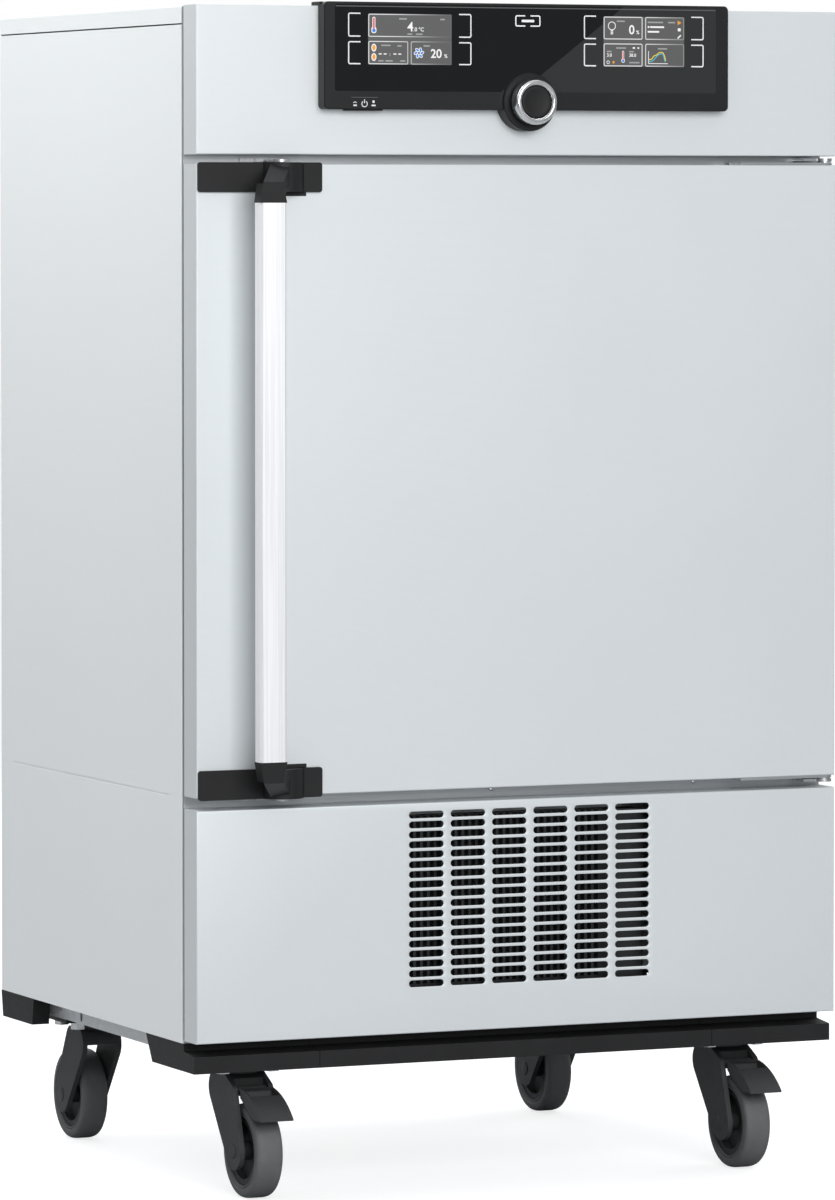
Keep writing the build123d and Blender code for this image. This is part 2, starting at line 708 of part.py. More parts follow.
def condenser_fan():
    """Fan with tilted blades on a hub and a shaft into the motor."""
    x = (CONDENSER_LEFT + CONDENSER_RIGHT) / 2
    z = (CONDENSER_BASE + LOWER_TOP - CONDENSER_TOP_DROP) / 2
    front = SHROUD_Y
    back = SHROUD_Y + SHROUD_THICK + FAN_DEPTH - 2 * CLEAR
    hub = Rot(90, 0, 0) * Cylinder(FAN_HUB, back - front)
    blade_chord = (back - front) / math.cos(math.radians(FAN_TILT)) * FAN_BLADE_SHARE
    blade = Pos((FAN_RADIUS + FAN_HUB) / 2 - 1, 0, 0) * Rot(FAN_TILT, 0, 0) * Box(
        FAN_RADIUS - FAN_HUB + 2, blade_chord, FAN_BLADE)
    fan = hub
    for index in range(FAN_BLADES):
        fan += Rot(0, index * 360 / FAN_BLADES, 0) * blade
    fan = Pos(x, (front + back) / 2, z) * fan
    shaft_end = SHROUD_Y + SHROUD_THICK + FAN_DEPTH + MOTOR_DEPTH / 2 - CLEAR
    return fan + through_y(x, z, (front, shaft_end), FAN_SHAFT)


def compressor():
    """The hermetic compressor: domed pot, foot plate and rubber feet."""
    low = BASE_TOP + COMPRESSOR_FOOT_HEIGHT
    pot = upright(0, 0, (low, low + COMPRESSOR_HEIGHT), COMPRESSOR_RADIUS)
    pot = chamfer(pot.edges().group_by(Axis.Z)[-1], COMPRESSOR_DOME)
    half = COMPRESSOR_PLATE / 2
    pot += block((-half, half), (-half, half), (low, low + SHEET * 2))
    solids = [Pos(COMPRESSOR_X, COMPRESSOR_Y, 0) * pot]
    reach = half - COMPRESSOR_FOOT
    for fx in (-reach, reach):
        for fy in (-reach, reach):
            solids.append(upright(COMPRESSOR_X + fx, COMPRESSOR_Y + fy, (BASE_TOP, low), COMPRESSOR_FOOT))
    return solids


def air_baffle():
    """The sheet before the chamber fan, with its ring of intakes and side outlets."""
    y = (CHAMBER_BACK - BAFFLE_STAND, CHAMBER_BACK)
    half = CHAMBER_X - BAFFLE_SIDE
    z = (CHAMBER_BOTTOM + BAFFLE_END, CHAMBER_TOP - BAFFLE_END)
    baffle = pan((-half, half), y, z, LINER)
    intake = Pos(INTAKE_RADIUS, 0) * Rectangle(INTAKE_LENGTH, INTAKE_WIDTH)
    cuts = [Rot(0, 0, index * 360 / BAFFLE_INTAKES) * intake for index in range(BAFFLE_INTAKES)]
    height = z[1] - z[0]
    pitch = height / OUTLET_COUNT
    for index in range(OUTLET_COUNT):
        for side in (-1, 1):
            place = Pos(side * (half - OUTLET_INSET), (index + 0.5) * pitch - height / 2)
            cuts.append(place * Rectangle(OUTLET_WIDTH, OUTLET_HEIGHT))
    for cut in cuts:
        baffle -= from_front(Pos(0, CHAMBER_MIDDLE) * cut, (y[0] - 1, y[0] + LINER + 1))
    return baffle


def chamber_fan():
    """Radial fan behind the baffle, with its shaft through the chamber's rear wall."""
    back = CHAMBER_BACK - (BAFFLE_STAND - CHAMBER_FAN_DEPTH) / 2
    front = back - CHAMBER_FAN_DEPTH
    fan = through_y(0, 0, (back - FAN_BLADE, back), CHAMBER_FAN_RADIUS)
    fan += through_y(0, 0, (front, back), CHAMBER_FAN_HUB)
    blade = block((CHAMBER_FAN_HUB - 1, CHAMBER_FAN_RADIUS), (front, back), (-FAN_BLADE / 2, FAN_BLADE / 2))
    for index in range(CHAMBER_FAN_BLADES):
        fan += Rot(0, index * 360 / CHAMBER_FAN_BLADES, 0) * blade
    fan += through_y(0, 0, (front, CHAMBER_BACK + FAN_SHAFT_BACK), FAN_SHAFT)
    return Pos(0, 0, CHAMBER_MIDDLE) * fan


def shelf(level):
    """One wire shelf on its pair of ledges: frame with rods from front to back."""
    z = CHAMBER_BOTTOM + LEDGE_FIRST + level * LEDGE_PITCH
    half = CHAMBER_X - SHELF_SIDE_GAP
    y = (MOUTH_Y + SHELF_FRONT_GAP, CHAMBER_BACK - BAFFLE_STAND - SHELF_BACK_GAP)
    frame = block((-half, half), y, (z, z + SHELF_THICK))
    inner = (half - SHELF_FRAME, y[0] + SHELF_FRAME, y[1] - SHELF_FRAME)
    frame -= block((-inner[0], inner[0]), (inner[1], inner[2]), (z - 1, z + SHELF_THICK + 1))
    pitch = 2 * inner[0] / (SHELF_RODS + 1)
    for index in range(SHELF_RODS):
        x = -inner[0] + (index + 1) * pitch
        rod = (x - SHELF_ROD / 2, x + SHELF_ROD / 2)
        frame += block(rod, (inner[1] - 1, inner[2] + 1), (z + SHELF_THICK - SHELF_ROD, z + SHELF_THICK))
    return frame


def glass_limits():
    """Width and height limits of the glass pane in its recess."""
    x = (-RECESS_X + GLASS_SIDE_GAP, RECESS_X - GLASS_SIDE_GAP)
    return x, (RECESS_BOTTOM + GLASS_END_GAP, RECESS_TOP - GLASS_END_GAP)


def glass_pane():
    """The inner door's pane."""
    x, z = glass_limits()
    return block(x, (GLASS_Y, GLASS_Y + GLASS_THICK), z)


def glass_fittings():
    """Clips with pivot pins at the pane's right corners, and its pull knob."""
    x, z = glass_limits()
    solids = []
    for end, way in ((z[0], 1), (z[1], -1)):
        clip_z = sorted((end, end + way * GLASS_CLIP_HEIGHT))
        clip = block((x[1] - GLASS_CLIP, x[1]), (GLASS_PIVOT_Y - GLASS_PIN, GLASS_Y), clip_z)
        pin_z = sorted((end + way * GLASS_PIN, end - way * (GLASS_END_GAP - 2 * CLEAR)))
        solids.append(clip + upright(GLASS_PIVOT_X, GLASS_PIVOT_Y, pin_z, GLASS_PIN))
    middle = (z[0] + z[1]) / 2
    knob_x = x[0] + 3 * GLASS_KNOB_RADIUS
    front = GLASS_Y - GLASS_KNOB_LENGTH
    knob = through_y(knob_x, middle, (front, front + GLASS_KNOB_LENGTH / 2), GLASS_KNOB_RADIUS)
    solids.append(knob + through_y(knob_x, middle, (front, GLASS_Y), GLASS_KNOB_RADIUS / 2))
    return solids


def glass_brackets():
    """Sockets in the recess's right corners for the pane's pivot pins."""
    solids = []
    for end, way in ((RECESS_BOTTOM, 1), (RECESS_TOP, -1)):
        z = sorted((end, end + way * (GLASS_BRACKET - CLEAR)))
        x = (RECESS_X - 2 * GLASS_PIVOT_INSET, RECESS_X)
        body = block(x, (CHASSIS_Y + CHASSIS_SHEET, MOUTH_Y), z)
        socket = (z[0] - 1, z[1] + 1)
        solids.append(body - upright(GLASS_PIVOT_X, GLASS_PIVOT_Y, socket, GLASS_PIN + RUN))
    return solids


def handle_levels():
    """Lower and upper handle plates: each plate's height limits, and the way towards the middle."""
    low = DOOR_BOTTOM - HANDLE_PLATE_OVERHANG
    high = DOOR_TOP + HANDLE_PLATE_OVERHANG - CLEAR * 3
    return [((low, low + HANDLE_PLATE_HEIGHT), 1), ((high - HANDLE_PLATE_HEIGHT, high), -1)]


def cup_limits(plate, way):
    """Where a handle cup lies in the door: its plate's height with the bearing web beyond it."""
    x = (PIVOT_X - DRUM_RADIUS - CUP_MARGIN, PIVOT_X + DRUM_RADIUS + CUP_MARGIN)
    z = [plate[0], plate[1]]
    if way > 0:
        z[1] += CUP_WEB
    else:
        z[0] -= CUP_WEB
    return x, (0, CUP_BACK), z


def hinge_pin_limits(way):
    """Heights of a hinge pin inside the door, from the door's edge inwards."""
    edge = DOOR_BOTTOM if way > 0 else DOOR_TOP
    return sorted((edge - way, edge + way * HINGE_PIN_DEPTH))


def door_shell():
    """The outer door's sheet pan, cut for the handle cups and the hinge pins."""
    shell = pan((-HALF, HALF), (0, PANEL_RETURN), (DOOR_BOTTOM, DOOR_TOP), SHEET, PANEL_FOLD)
    for plate, way in handle_levels():
        x, y, z = cup_limits(plate, way)
        shell -= block(x, (y[0] - 1, y[1]), z)
        shell -= upright(HINGE_X, HINGE_Y, hinge_pin_limits(way), HINGE_PIN + RUN)
    return shell


def inner_panel_limits():
    """Width and height of the pressed middle of the door's inner panel."""
    half = HALF - INNER_PANEL_MARGIN
    return (-half, half), (DOOR_BOTTOM + INNER_PANEL_MARGIN, DOOR_TOP - INNER_PANEL_MARGIN)


def door_insulation():
    """The foam block in the door."""
    x = (-INSIDE, INSIDE)
    z = (DOOR_BOTTOM + SHEET, DOOR_TOP - SHEET)
    foam = block(x, (SHEET, INNER_PANEL_Y - SHEET), z)
    press_x, press_z = inner_panel_limits()
    foam -= block(press_x, (INNER_PANEL_Y - INNER_PANEL_DROP - SHEET, INNER_PANEL_Y), press_z)
    for plate, way in handle_levels():
        x, y, z = cup_limits(plate, way)
        z[0] -= HANDLE_PIN if way < 0 else 0
        z[1] += HANDLE_PIN if way > 0 else 0
        foam -= block(x, (y[0] - 1, y[1]), z)
        foam -= upright(HINGE_X, HINGE_Y, hinge_pin_limits(way), HINGE_PIN + CLEAR)
    return foam


def door_inner_panel():
    """The door's inner sheet with its pressed middle."""
    y = (INNER_PANEL_Y - SHEET, INNER_PANEL_Y)
    sheet = block((-INSIDE, INSIDE), y, (DOOR_BOTTOM + SHEET, DOOR_TOP - SHEET))
    x, z = inner_panel_limits()
    drop = INNER_PANEL_Y - INNER_PANEL_DROP
    sheet += block(x, (drop - SHEET, y[1]), z)
    wall = ((x[0] + SHEET, x[1] - SHEET), (drop, y[1] + 1), (z[0] + SHEET, z[1] - SHEET))
    return sheet - block(*wall)


def hinge_leaves():
    """Leaves on the door's top and bottom edges, each ending in a knuckle round its pin."""
    solids = []
    for edge, way in ((DOOR_BOTTOM, -1), (DOOR_TOP, 1)):
        z = sorted((edge, edge + way * LEAF_THICK))
        x = (HINGE_X - LEAF_LENGTH + HINGE_KNUCKLE, HINGE_X)
        leaf = block(x, (HINGE_Y - HINGE_KNUCKLE, LEAF_BACK), z)
        leaf += upright(HINGE_X, HINGE_Y, z, HINGE_KNUCKLE)
        solids.append(leaf - upright(HINGE_X, HINGE_Y, (z[0] - 1, z[1] + 1), HINGE_PIN + RUN))
    return solids


def hinge_brackets():
    """Brackets from the chassis over and under the door, each with its welded pin."""
    solids = []
    for edge, way in ((DOOR_BOTTOM, -1), (DOOR_TOP, 1)):
        leaf_end = edge + way * (LEAF_THICK + CLEAR)
        start = leaf_end + way * BRACKET_BOSS
        end = start + way * BRACKET_THICK
        z = sorted((start, end))
        arm = block((HINGE_X - BRACKET_WIDTH / 2, HINGE_X), (HINGE_Y, CHASSIS_Y), z)
        arm += upright(HINGE_X, HINGE_Y, z, HINGE_KNUCKLE)
        arm += upright(HINGE_X, HINGE_Y, sorted((leaf_end, start)), HINGE_KNUCKLE - 1)
        arm += upright(HINGE_X, HINGE_Y, sorted((edge - way * (HINGE_PIN_DEPTH - 1), end)), HINGE_PIN)
        solids.append(arm)
    return solids


def handle_plates():
    """Black plates on the door, each moulded with the cup and web that hold the handle's drum."""
    solids = []
    for plate, way in handle_levels():
        width = HANDLE_PLATE_RIGHT - HANDLE_PLATE_LEFT
        middle = -HALF + (HANDLE_PLATE_RIGHT + HANDLE_PLATE_LEFT) / 2
        face = RectangleRounded(width, HANDLE_PLATE_HEIGHT, HANDLE_PLATE_CORNER)
        body = from_front(Pos(middle, (plate[0] + plate[1]) / 2) * face, (-HANDLE_PLATE_THICK, 0))
        cup = block(*cup_limits(plate, way))
        web = plate[1] if way > 0 else plate[0]
        well_z = sorted((web, plate[0] - 1 if way > 0 else plate[1] + 1))
        well = upright(PIVOT_X, HANDLE_PIVOT_Y, well_z, DRUM_RADIUS + CLEAR)
        cup_back = CUP_BACK - CUP_WALL
        well -= block((PIVOT_X - HALF, PIVOT_X + HALF), (cup_back, HALF), (well_z[0], well_z[1]))
        bore_z = sorted((web - way, web + way * (CUP_WEB + 1)))
        solid = body + cup - well - upright(PIVOT_X, HANDLE_PIVOT_Y, bore_z, HANDLE_PIN + RUN)
        solids.append(solid)
    return solids


def bar_ends():
    """Heights of the light handle bar's two ends."""
    low, high = [plate for plate, way in handle_levels()]
    return low[1] + BAR_END_GAP, high[0] - BAR_END_GAP


def handle_bar():
    """The flat bar with bevelled long edges."""
    x = (-HALF + BAR_LEFT, -HALF + BAR_LEFT + BAR_WIDTH)
    y = (-HANDLE_REACH, -HANDLE_REACH + BAR_THICK)
    low, high = bar_ends()
    bar = block(x, y, (low, high))
    return chamfer(bar.edges().filter_by(Axis.Z), BAR_CHAMFER)


def arm_section(plane, x, height, middle):
    """A rectangle for the handle arm's ends on a given plane."""
    return plane * Pos((x[0] + x[1]) / 2, middle) * Rectangle(x[1] - x[0], height)


def handle_arm(plate, way):
    """Black end cap, slanting arm and half drum at one end of the handle."""
    bar_x = (-HALF + BAR_LEFT, -HALF + BAR_LEFT + BAR_WIDTH)
    arm_x = (-HALF + ARM_LEFT, -HALF + ARM_LEFT + ARM_WIDTH)
    outer = plate[0] if way > 0 else plate[1]
    cap_start = bar_ends()[0] if way > 0 else bar_ends()[1]
    cap_end = cap_start - way * CAP_LENGTH
    y_middle = -HANDLE_REACH + BAR_THICK / 2
    start = Pos(sum(bar_x) / 2, y_middle, cap_start) * Rectangle(BAR_WIDTH, BAR_THICK)
    end = Pos(sum(arm_x) / 2, y_middle, cap_end) * Rectangle(ARM_WIDTH, BAR_THICK)
    cap = loft([start, end], ruled=True)
    slant = (ARM_ROOT_Y + HANDLE_REACH) / (HANDLE_REACH - DRUM_RADIUS + HANDLE_PIVOT_Y)
    front_z = outer + way * ARM_FRONT_DROP
    back_z = outer + way * (ARM_FRONT_DROP + (ARM_BACK_DROP - ARM_FRONT_DROP) * slant)
    root_shift = (HANDLE_PIVOT_X - ARM_WIDTH - ARM_LEFT) * slant
    root_x = (arm_x[0] + root_shift, arm_x[1] + root_shift)
    front_plane = Plane(origin=(0, -HANDLE_REACH, 0), x_dir=(1, 0, 0), z_dir=(0, -1, 0))
    root_plane = Plane(origin=(0, ARM_ROOT_Y, 0), x_dir=(1, 0, 0), z_dir=(0, -1, 0))
    front = arm_section(front_plane, arm_x, ARM_HEIGHT, front_z + way * ARM_HEIGHT / 2)
    root = arm_section(root_plane, root_x, ARM_HEIGHT, back_z + way * ARM_HEIGHT / 2)
    arm = loft([root, front], ruled=True)
    half_disc = Circle(DRUM_RADIUS)
    cut = Pos(DRUM_CHORD + DRUM_RADIUS, 0) * Rectangle(2 * DRUM_RADIUS, 3 * DRUM_RADIUS)
    drum_face = half_disc - Rot(0, 0, DRUM_REST_ANGLE) * cut + Circle(DRUM_CORE)
    drum_z = sorted((outer, outer + way * (HANDLE_PLATE_HEIGHT - CLEAR)))
    drum = from_above(Pos(PIVOT_X, HANDLE_PIVOT_Y) * drum_face, drum_z)
    bore = upright(PIVOT_X, HANDLE_PIVOT_Y, (drum_z[0] - 1, drum_z[1] + 1), HANDLE_PIN)
    return drum + arm + cap - bore


def latch_shaft(plate, way):
    """Pivot pin of one handle end with its latch claw outside the door's edge."""
    outer = plate[0] if way > 0 else plate[1]
    inner = outer + way * (HANDLE_PLATE_HEIGHT + CUP_WEB)
    claw_z = sorted((outer - way * HOOK_CLEAR, outer - way * (HOOK_CLEAR + HOOK_THICK)))
    pin_z = sorted((inner, claw_z[0] if way > 0 else claw_z[1]))
    claw = Circle(HOOK_HUB)
    arm = Pos(HOOK_RADIUS / 2, 0) * Rectangle(HOOK_RADIUS, HOOK_WIDTH) & Circle(HOOK_RADIUS)
    notch = Pos(HOOK_NOTCH_OUT, -HOOK_NOTCH_SIDE) * Circle(HOOK_NOTCH)
    claw = claw + Rot(0, 0, 90) * (arm - notch)
    plate_solid = from_above(Pos(PIVOT_X, HANDLE_PIVOT_Y) * claw, claw_z)
    return plate_solid + upright(PIVOT_X, HANDLE_PIVOT_Y, pin_z, HANDLE_PIN)


def latch_strikers():
    """Toothed keepers on the chassis, level with the latch claws."""
    solids = []
    for plate, way in handle_levels():
        outer = plate[0] if way > 0 else plate[1]
        z = sorted((outer - way * HOOK_CLEAR, outer - way * (HOOK_CLEAR + STRIKER_THICK)))
        left = -HALF + STRIKER_LEFT
        right = left + (STRIKER_TEETH - 1) * STRIKER_PITCH + STRIKER_TOOTH
        keeper = block((left, right), (CHASSIS_Y - STRIKER_BACK, CHASSIS_Y), z)
        for index in range(STRIKER_TEETH):
            x = left + index * STRIKER_PITCH
            keeper += block((x, x + STRIKER_TOOTH), (CHASSIS_Y - STRIKER_REACH, CHASSIS_Y), z)
        solids.append(keeper)
    return solids


def pane_limits():
    """Width and height limits of the control panel's pane."""
    x = (-COCKPIT_WIDTH / 2 + PANE_SIDE, COCKPIT_WIDTH / 2 - PANE_RIGHT)
    return x, (COCKPIT_BOTTOM + PANE_BOTTOM, COCKPIT_TOP - PANE_TOP)


def screen_limits(side):
    """Width and height limits of one screen."""
    middle = side * SCREEN_SPREAD
    top = COCKPIT_TOP - SCREEN_DROP
    return (middle - SCREEN_WIDTH / 2, middle + SCREEN_WIDTH / 2), (top - SCREEN_HEIGHT, top)


def pane_outline():
    """The pane's face: a rounded rectangle with a bite for the knob's boss."""
    x, z = pane_limits()
    face = RectangleRounded(x[1] - x[0], z[1] - z[0], PANE_CORNER)
    face = Pos((x[0] + x[1]) / 2, (z[0] + z[1]) / 2) * face
    return face - Pos(0, KNOB_Z) * Circle(BUMP_RADIUS + CLEAR)


def switch_limits():
    """Width and depth limits of the main switch."""
    left = -COCKPIT_WIDTH / 2 + SWITCH_LEFT
    back = -SWITCH_BACK
    return (left, left + SWITCH_WIDTH), (back - SWITCH_DEPTH, back)


def cockpit_housing():
    """The black control housing: bezel, knob boss, lip over the cabinet's top and rear tub."""
    face = RectangleRounded(COCKPIT_WIDTH, COCKPIT_HEIGHT, COCKPIT_CORNER)
    middle = (COCKPIT_BOTTOM + COCKPIT_TOP) / 2
    body = from_front(Pos(0, middle) * face, (-COCKPIT_OUT, 0))
    body = chamfer(body.edges().group_by(Axis.Y)[0], COCKPIT_FOLD)
    bump = through_y(0, KNOB_Z, (-COCKPIT_OUT - BUMP_OUT, 0), BUMP_RADIUS)
    body += chamfer(bump.edges().group_by(Axis.Y)[0], COCKPIT_FOLD)
    half = COCKPIT_WIDTH / 2
    body += block((-half, half), (-COCKPIT_LIP, COCKPIT_LIP_BACK), (TOP, COCKPIT_TOP))
    tub_half = half - COCKPIT_TUB_INSET
    tub_z = (COCKPIT_BOTTOM + COCKPIT_TUB_INSET, COCKPIT_TOP - COCKPIT_TUB_INSET)
    body += block((-tub_half, tub_half), (-COCKPIT_LIP, COCKPIT_TUB_BACK), tub_z)
    pane_back = -COCKPIT_OUT + PANE_SINK + PANE_THICK
    body -= from_front(pane_outline(), (-COCKPIT_OUT - BUMP_OUT - 1, pane_back))
    for side in (-1, 1):
        x, z = screen_limits(side)
        body -= block(x, (pane_back - 1, pane_back + SCREEN_THICK), z)
    socket = (-COCKPIT_OUT - BUMP_OUT - 1, -COCKPIT_OUT - BUMP_OUT + SPINDLE_SOCKET)
    body -= through_y(0, KNOB_Z, socket, SPINDLE_RADIUS + RUN)
    x, y = switch_limits()
    pocket = ((x[0] - CLEAR, x[1] + CLEAR), (y[0] - CLEAR, y[1] + CLEAR))
    body -= block(*pocket, (COCKPIT_BOTTOM - 1, COCKPIT_BOTTOM + SWITCH_HEIGHT))
    return body


def cockpit_pane():
    """The dark glass of the control panel."""
    front = -COCKPIT_OUT + PANE_SINK
    return from_front(pane_outline(), (front, front + PANE_THICK))


def screen(side):
    """One display behind the glass."""
    x, z = screen_limits(side)
    front = -COCKPIT_OUT + PANE_SINK + PANE_THICK
    return block(x, (front, front + SCREEN_THICK), z)


def knob_spindle():
    """The encoder spindle that slides in when the knob is pushed."""
    socket_end = -COCKPIT_OUT - BUMP_OUT + SPINDLE_SOCKET
    y = (-KNOB_FRONT + KNOB_CAP_SINK + 2 * KNOB_ROUND, socket_end - SPINDLE_END_GAP)
    return through_y(0, KNOB_Z, y, SPINDLE_RADIUS)


def knob_ring():
    """The bright ring with its rounded front."""
    y = (-KNOB_FRONT, -KNOB_FRONT + KNOB_RING_DEPTH)
    ring = through_y(0, KNOB_Z, y, KNOB_RADIUS)
    front = ring.edges().group_by(Axis.Y)[0]
    ring = fillet(front, KNOB_ROUND)
    return ring - through_y(0, KNOB_Z, (y[0] - 1, y[1] + 1), KNOB_CAP_RADIUS)


def knob_cap():
    """The dark centre of the knob with its skirt behind the ring."""
    ring_back = -KNOB_FRONT + KNOB_RING_DEPTH
    cap = through_y(0, KNOB_Z, (-KNOB_FRONT + KNOB_CAP_SINK, ring_back + KNOB_SKIRT), KNOB_CAP_RADIUS)
    cap += through_y(0, KNOB_Z, (ring_back, ring_back + KNOB_SKIRT), KNOB_SKIRT_RADIUS)
    bore = (-KNOB_FRONT + KNOB_CAP_SINK + 2 * KNOB_ROUND - CLEAR, ring_back + KNOB_SKIRT + 1)
    return cap - through_y(0, KNOB_Z, bore, SPINDLE_RADIUS + RUN)


def main_switch():
    """The mains push switch under the bezel."""
    x, y = switch_limits()
    return block(x, y, (COCKPIT_BOTTOM - SWITCH_OUT, COCKPIT_BOTTOM + SWITCH_HEIGHT - 2 * SWITCH_OUT))


def mains_inlet():
    """The three-pin mains socket at the back."""
    z_middle = BASE_TOP + INLET_RISE + INLET_HEIGHT / 2
    y = DEPTH - SHEET
    x = (INLET_X - INLET_WIDTH / 2, INLET_X + INLET_WIDTH / 2)
    z = (z_middle - INLET_HEIGHT / 2, z_middle + INLET_HEIGHT / 2)
    body = block(x, (y - INLET_DEPTH, y), z)
    flange_x = (x[0] - INLET_FLANGE, x[1] + INLET_FLANGE)
    body += block(flange_x, (y, y + SHEET), (z[0] - INLET_FLANGE, z[1] + INLET_FLANGE))
    mouth_x = (x[0] + INLET_FLANGE, x[1] - INLET_FLANGE)
    bottom = y - INLET_DEPTH + INLET_FLANGE
    body -= block(mouth_x, (bottom, y + SHEET + 1), (z[0] + INLET_FLANGE, z[1] - INLET_FLANGE))
    for index in (-1, 0, 1):
        px = INLET_X + index * INLET_PIN_SPACE
        pz = z_middle + (INLET_PIN_WIDTH / 2 if index == 0 else -INLET_PIN_WIDTH / 2)
        pin_x = (px - INLET_PIN_THICK / 2, px + INLET_PIN_THICK / 2)
        pin_z = (pz - INLET_PIN_WIDTH / 2, pz + INLET_PIN_WIDTH / 2)
        body += block(pin_x, (bottom - 1, y - INLET_FLANGE), pin_z)
    return body


def caster_plate():
    """One mounting plate with the kingpin that the fork turns on, at a caster's own origin."""
    plate = block((-CASTER_PLATE_X / 2, CASTER_PLATE_X / 2), (-CASTER_PLATE_Y / 2, CASTER_PLATE_Y / 2),
                  (CASTER_HEIGHT, PLATE_TOP))
    plate += upright(0, 0, (HEAD_Z + CLEAR, CASTER_HEIGHT), KINGPIN_RADIUS)
    return plate


def caster_bolts():
    """The four hexagon screws under one mounting plate."""
    solids = []
    for spot in GridLocations(BOLT_SPACE_X, BOLT_SPACE_Y, 2, 2):
        head = RegularPolygon(BOLT_ACROSS / 2, 6, major_radius=False)
        top = CASTER_HEIGHT - BOLT_WASHER
        screw = from_above(spot * head, (top - BOLT_HEAD, top))
        washer = RegularPolygon(BOLT_ACROSS / 2 + 1, WASHER_SIDES)
        screw += from_above(spot * washer, (top, CASTER_HEIGHT))
        solids.append(screw)
    return solids


def leg_outline(braked):
    """The fork leg's side outline: circles at the axle and the head, joined by tangents."""
    shoulder = HEAD_HALF - LEG_END
    rings = [Pos(-TRAIL, WHEEL_RADIUS) * Circle(LEG_END), Pos(-shoulder, HEAD_Z) * Circle(LEG_END)]
    rings.append(Pos(shoulder, HEAD_Z) * Circle(LEG_END))
    if braked:
        rings.append(Pos(-PEDAL_PIVOT_OUT, PEDAL_PIVOT_Z) * Circle(PEDAL_BARREL + 2))
    edges = []
    for ring in rings:
        edges += ring.edges()
    face = make_hull(edges)
    return face - Pos(0, HEAD_TOP + HEAD_Z) * Rectangle(4 * HEAD_Z, 2 * HEAD_Z)


def fork(braked):
    """Fork legs, head and swivel race, trailing towards the front."""
    inner = LEG_GAP / 2
    outer = inner + LEG_THICK
    body = from_side(leg_outline(braked), (-outer, outer))
    body -= block((-inner, inner), (-TRAIL - LEG_END - 1, HEAD_HALF + 1), (0, HEAD_Z))
    body -= block((-inner, inner), (-TRAIL - LEG_END - 1, -HEAD_HALF), (0, HEAD_TOP + 1))
    body += upright(0, 0, (HEAD_TOP - 1, CASTER_HEIGHT - CLEAR), RACE_RADIUS)
    body -= upright(0, 0, (HEAD_Z - 1, CASTER_HEIGHT + 1), KINGPIN_RADIUS + RUN)
    body -= through_x(-TRAIL, WHEEL_RADIUS, (-outer - 1, outer + 1), AXLE_RADIUS)
    solids = [body, through_x(-TRAIL, WHEEL_RADIUS, (-outer - 1, outer + 1), AXLE_RADIUS)]
    if braked:
        solids[0] -= through_x(-PEDAL_PIVOT_OUT, PEDAL_PIVOT_Z, (-outer - 1, outer + 1), PEDAL_PIN)
        solids.append(through_x(-PEDAL_PIVOT_OUT, PEDAL_PIVOT_Z, (-outer, outer), PEDAL_PIN))
    return solids


def tread():
    """The soft tyre with rounded shoulders."""
    half = TREAD_WIDTH / 2
    right = [(half, TREAD_INNER), (half, WHEEL_RADIUS - TREAD_SHOULDER)]
    for step in range(1, SHOULDER_SIDES + 1):
        angle = math.radians(step * 90 / SHOULDER_SIDES)
        x = half - TREAD_SHOULDER * (1 - math.cos(angle))
        right.append((x, WHEEL_RADIUS - TREAD_SHOULDER * (1 - math.sin(angle))))
    left = [(-x, radius) for x, radius in reversed(right)]
    ring = revolve(outline(right + left), Axis.X)
    return Pos(0, -TRAIL, WHEEL_RADIUS) * ring


def hub():
    """The wheel's disc: rim, thin web and bearing boss."""
    points = [(HUB_BOSS, LEG_GAP / 2 - CLEAR), (HUB_BOSS, HUB_WEB / 2), (HUB_RIM, HUB_WEB / 2)]
    points += [(HUB_RIM, HUB_WIDTH / 2), (TREAD_INNER, HUB_WIDTH / 2)]
    low = AXLE_RADIUS + RUN
    right = [(low, LEG_GAP / 2 - CLEAR)] + points
    left = [(radius, -x) for radius, x in reversed(right)]
    section = outline([(x, radius) for radius, x in right + left])
    return Pos(0, -TRAIL, WHEEL_RADIUS) * revolve(section, Axis.X)


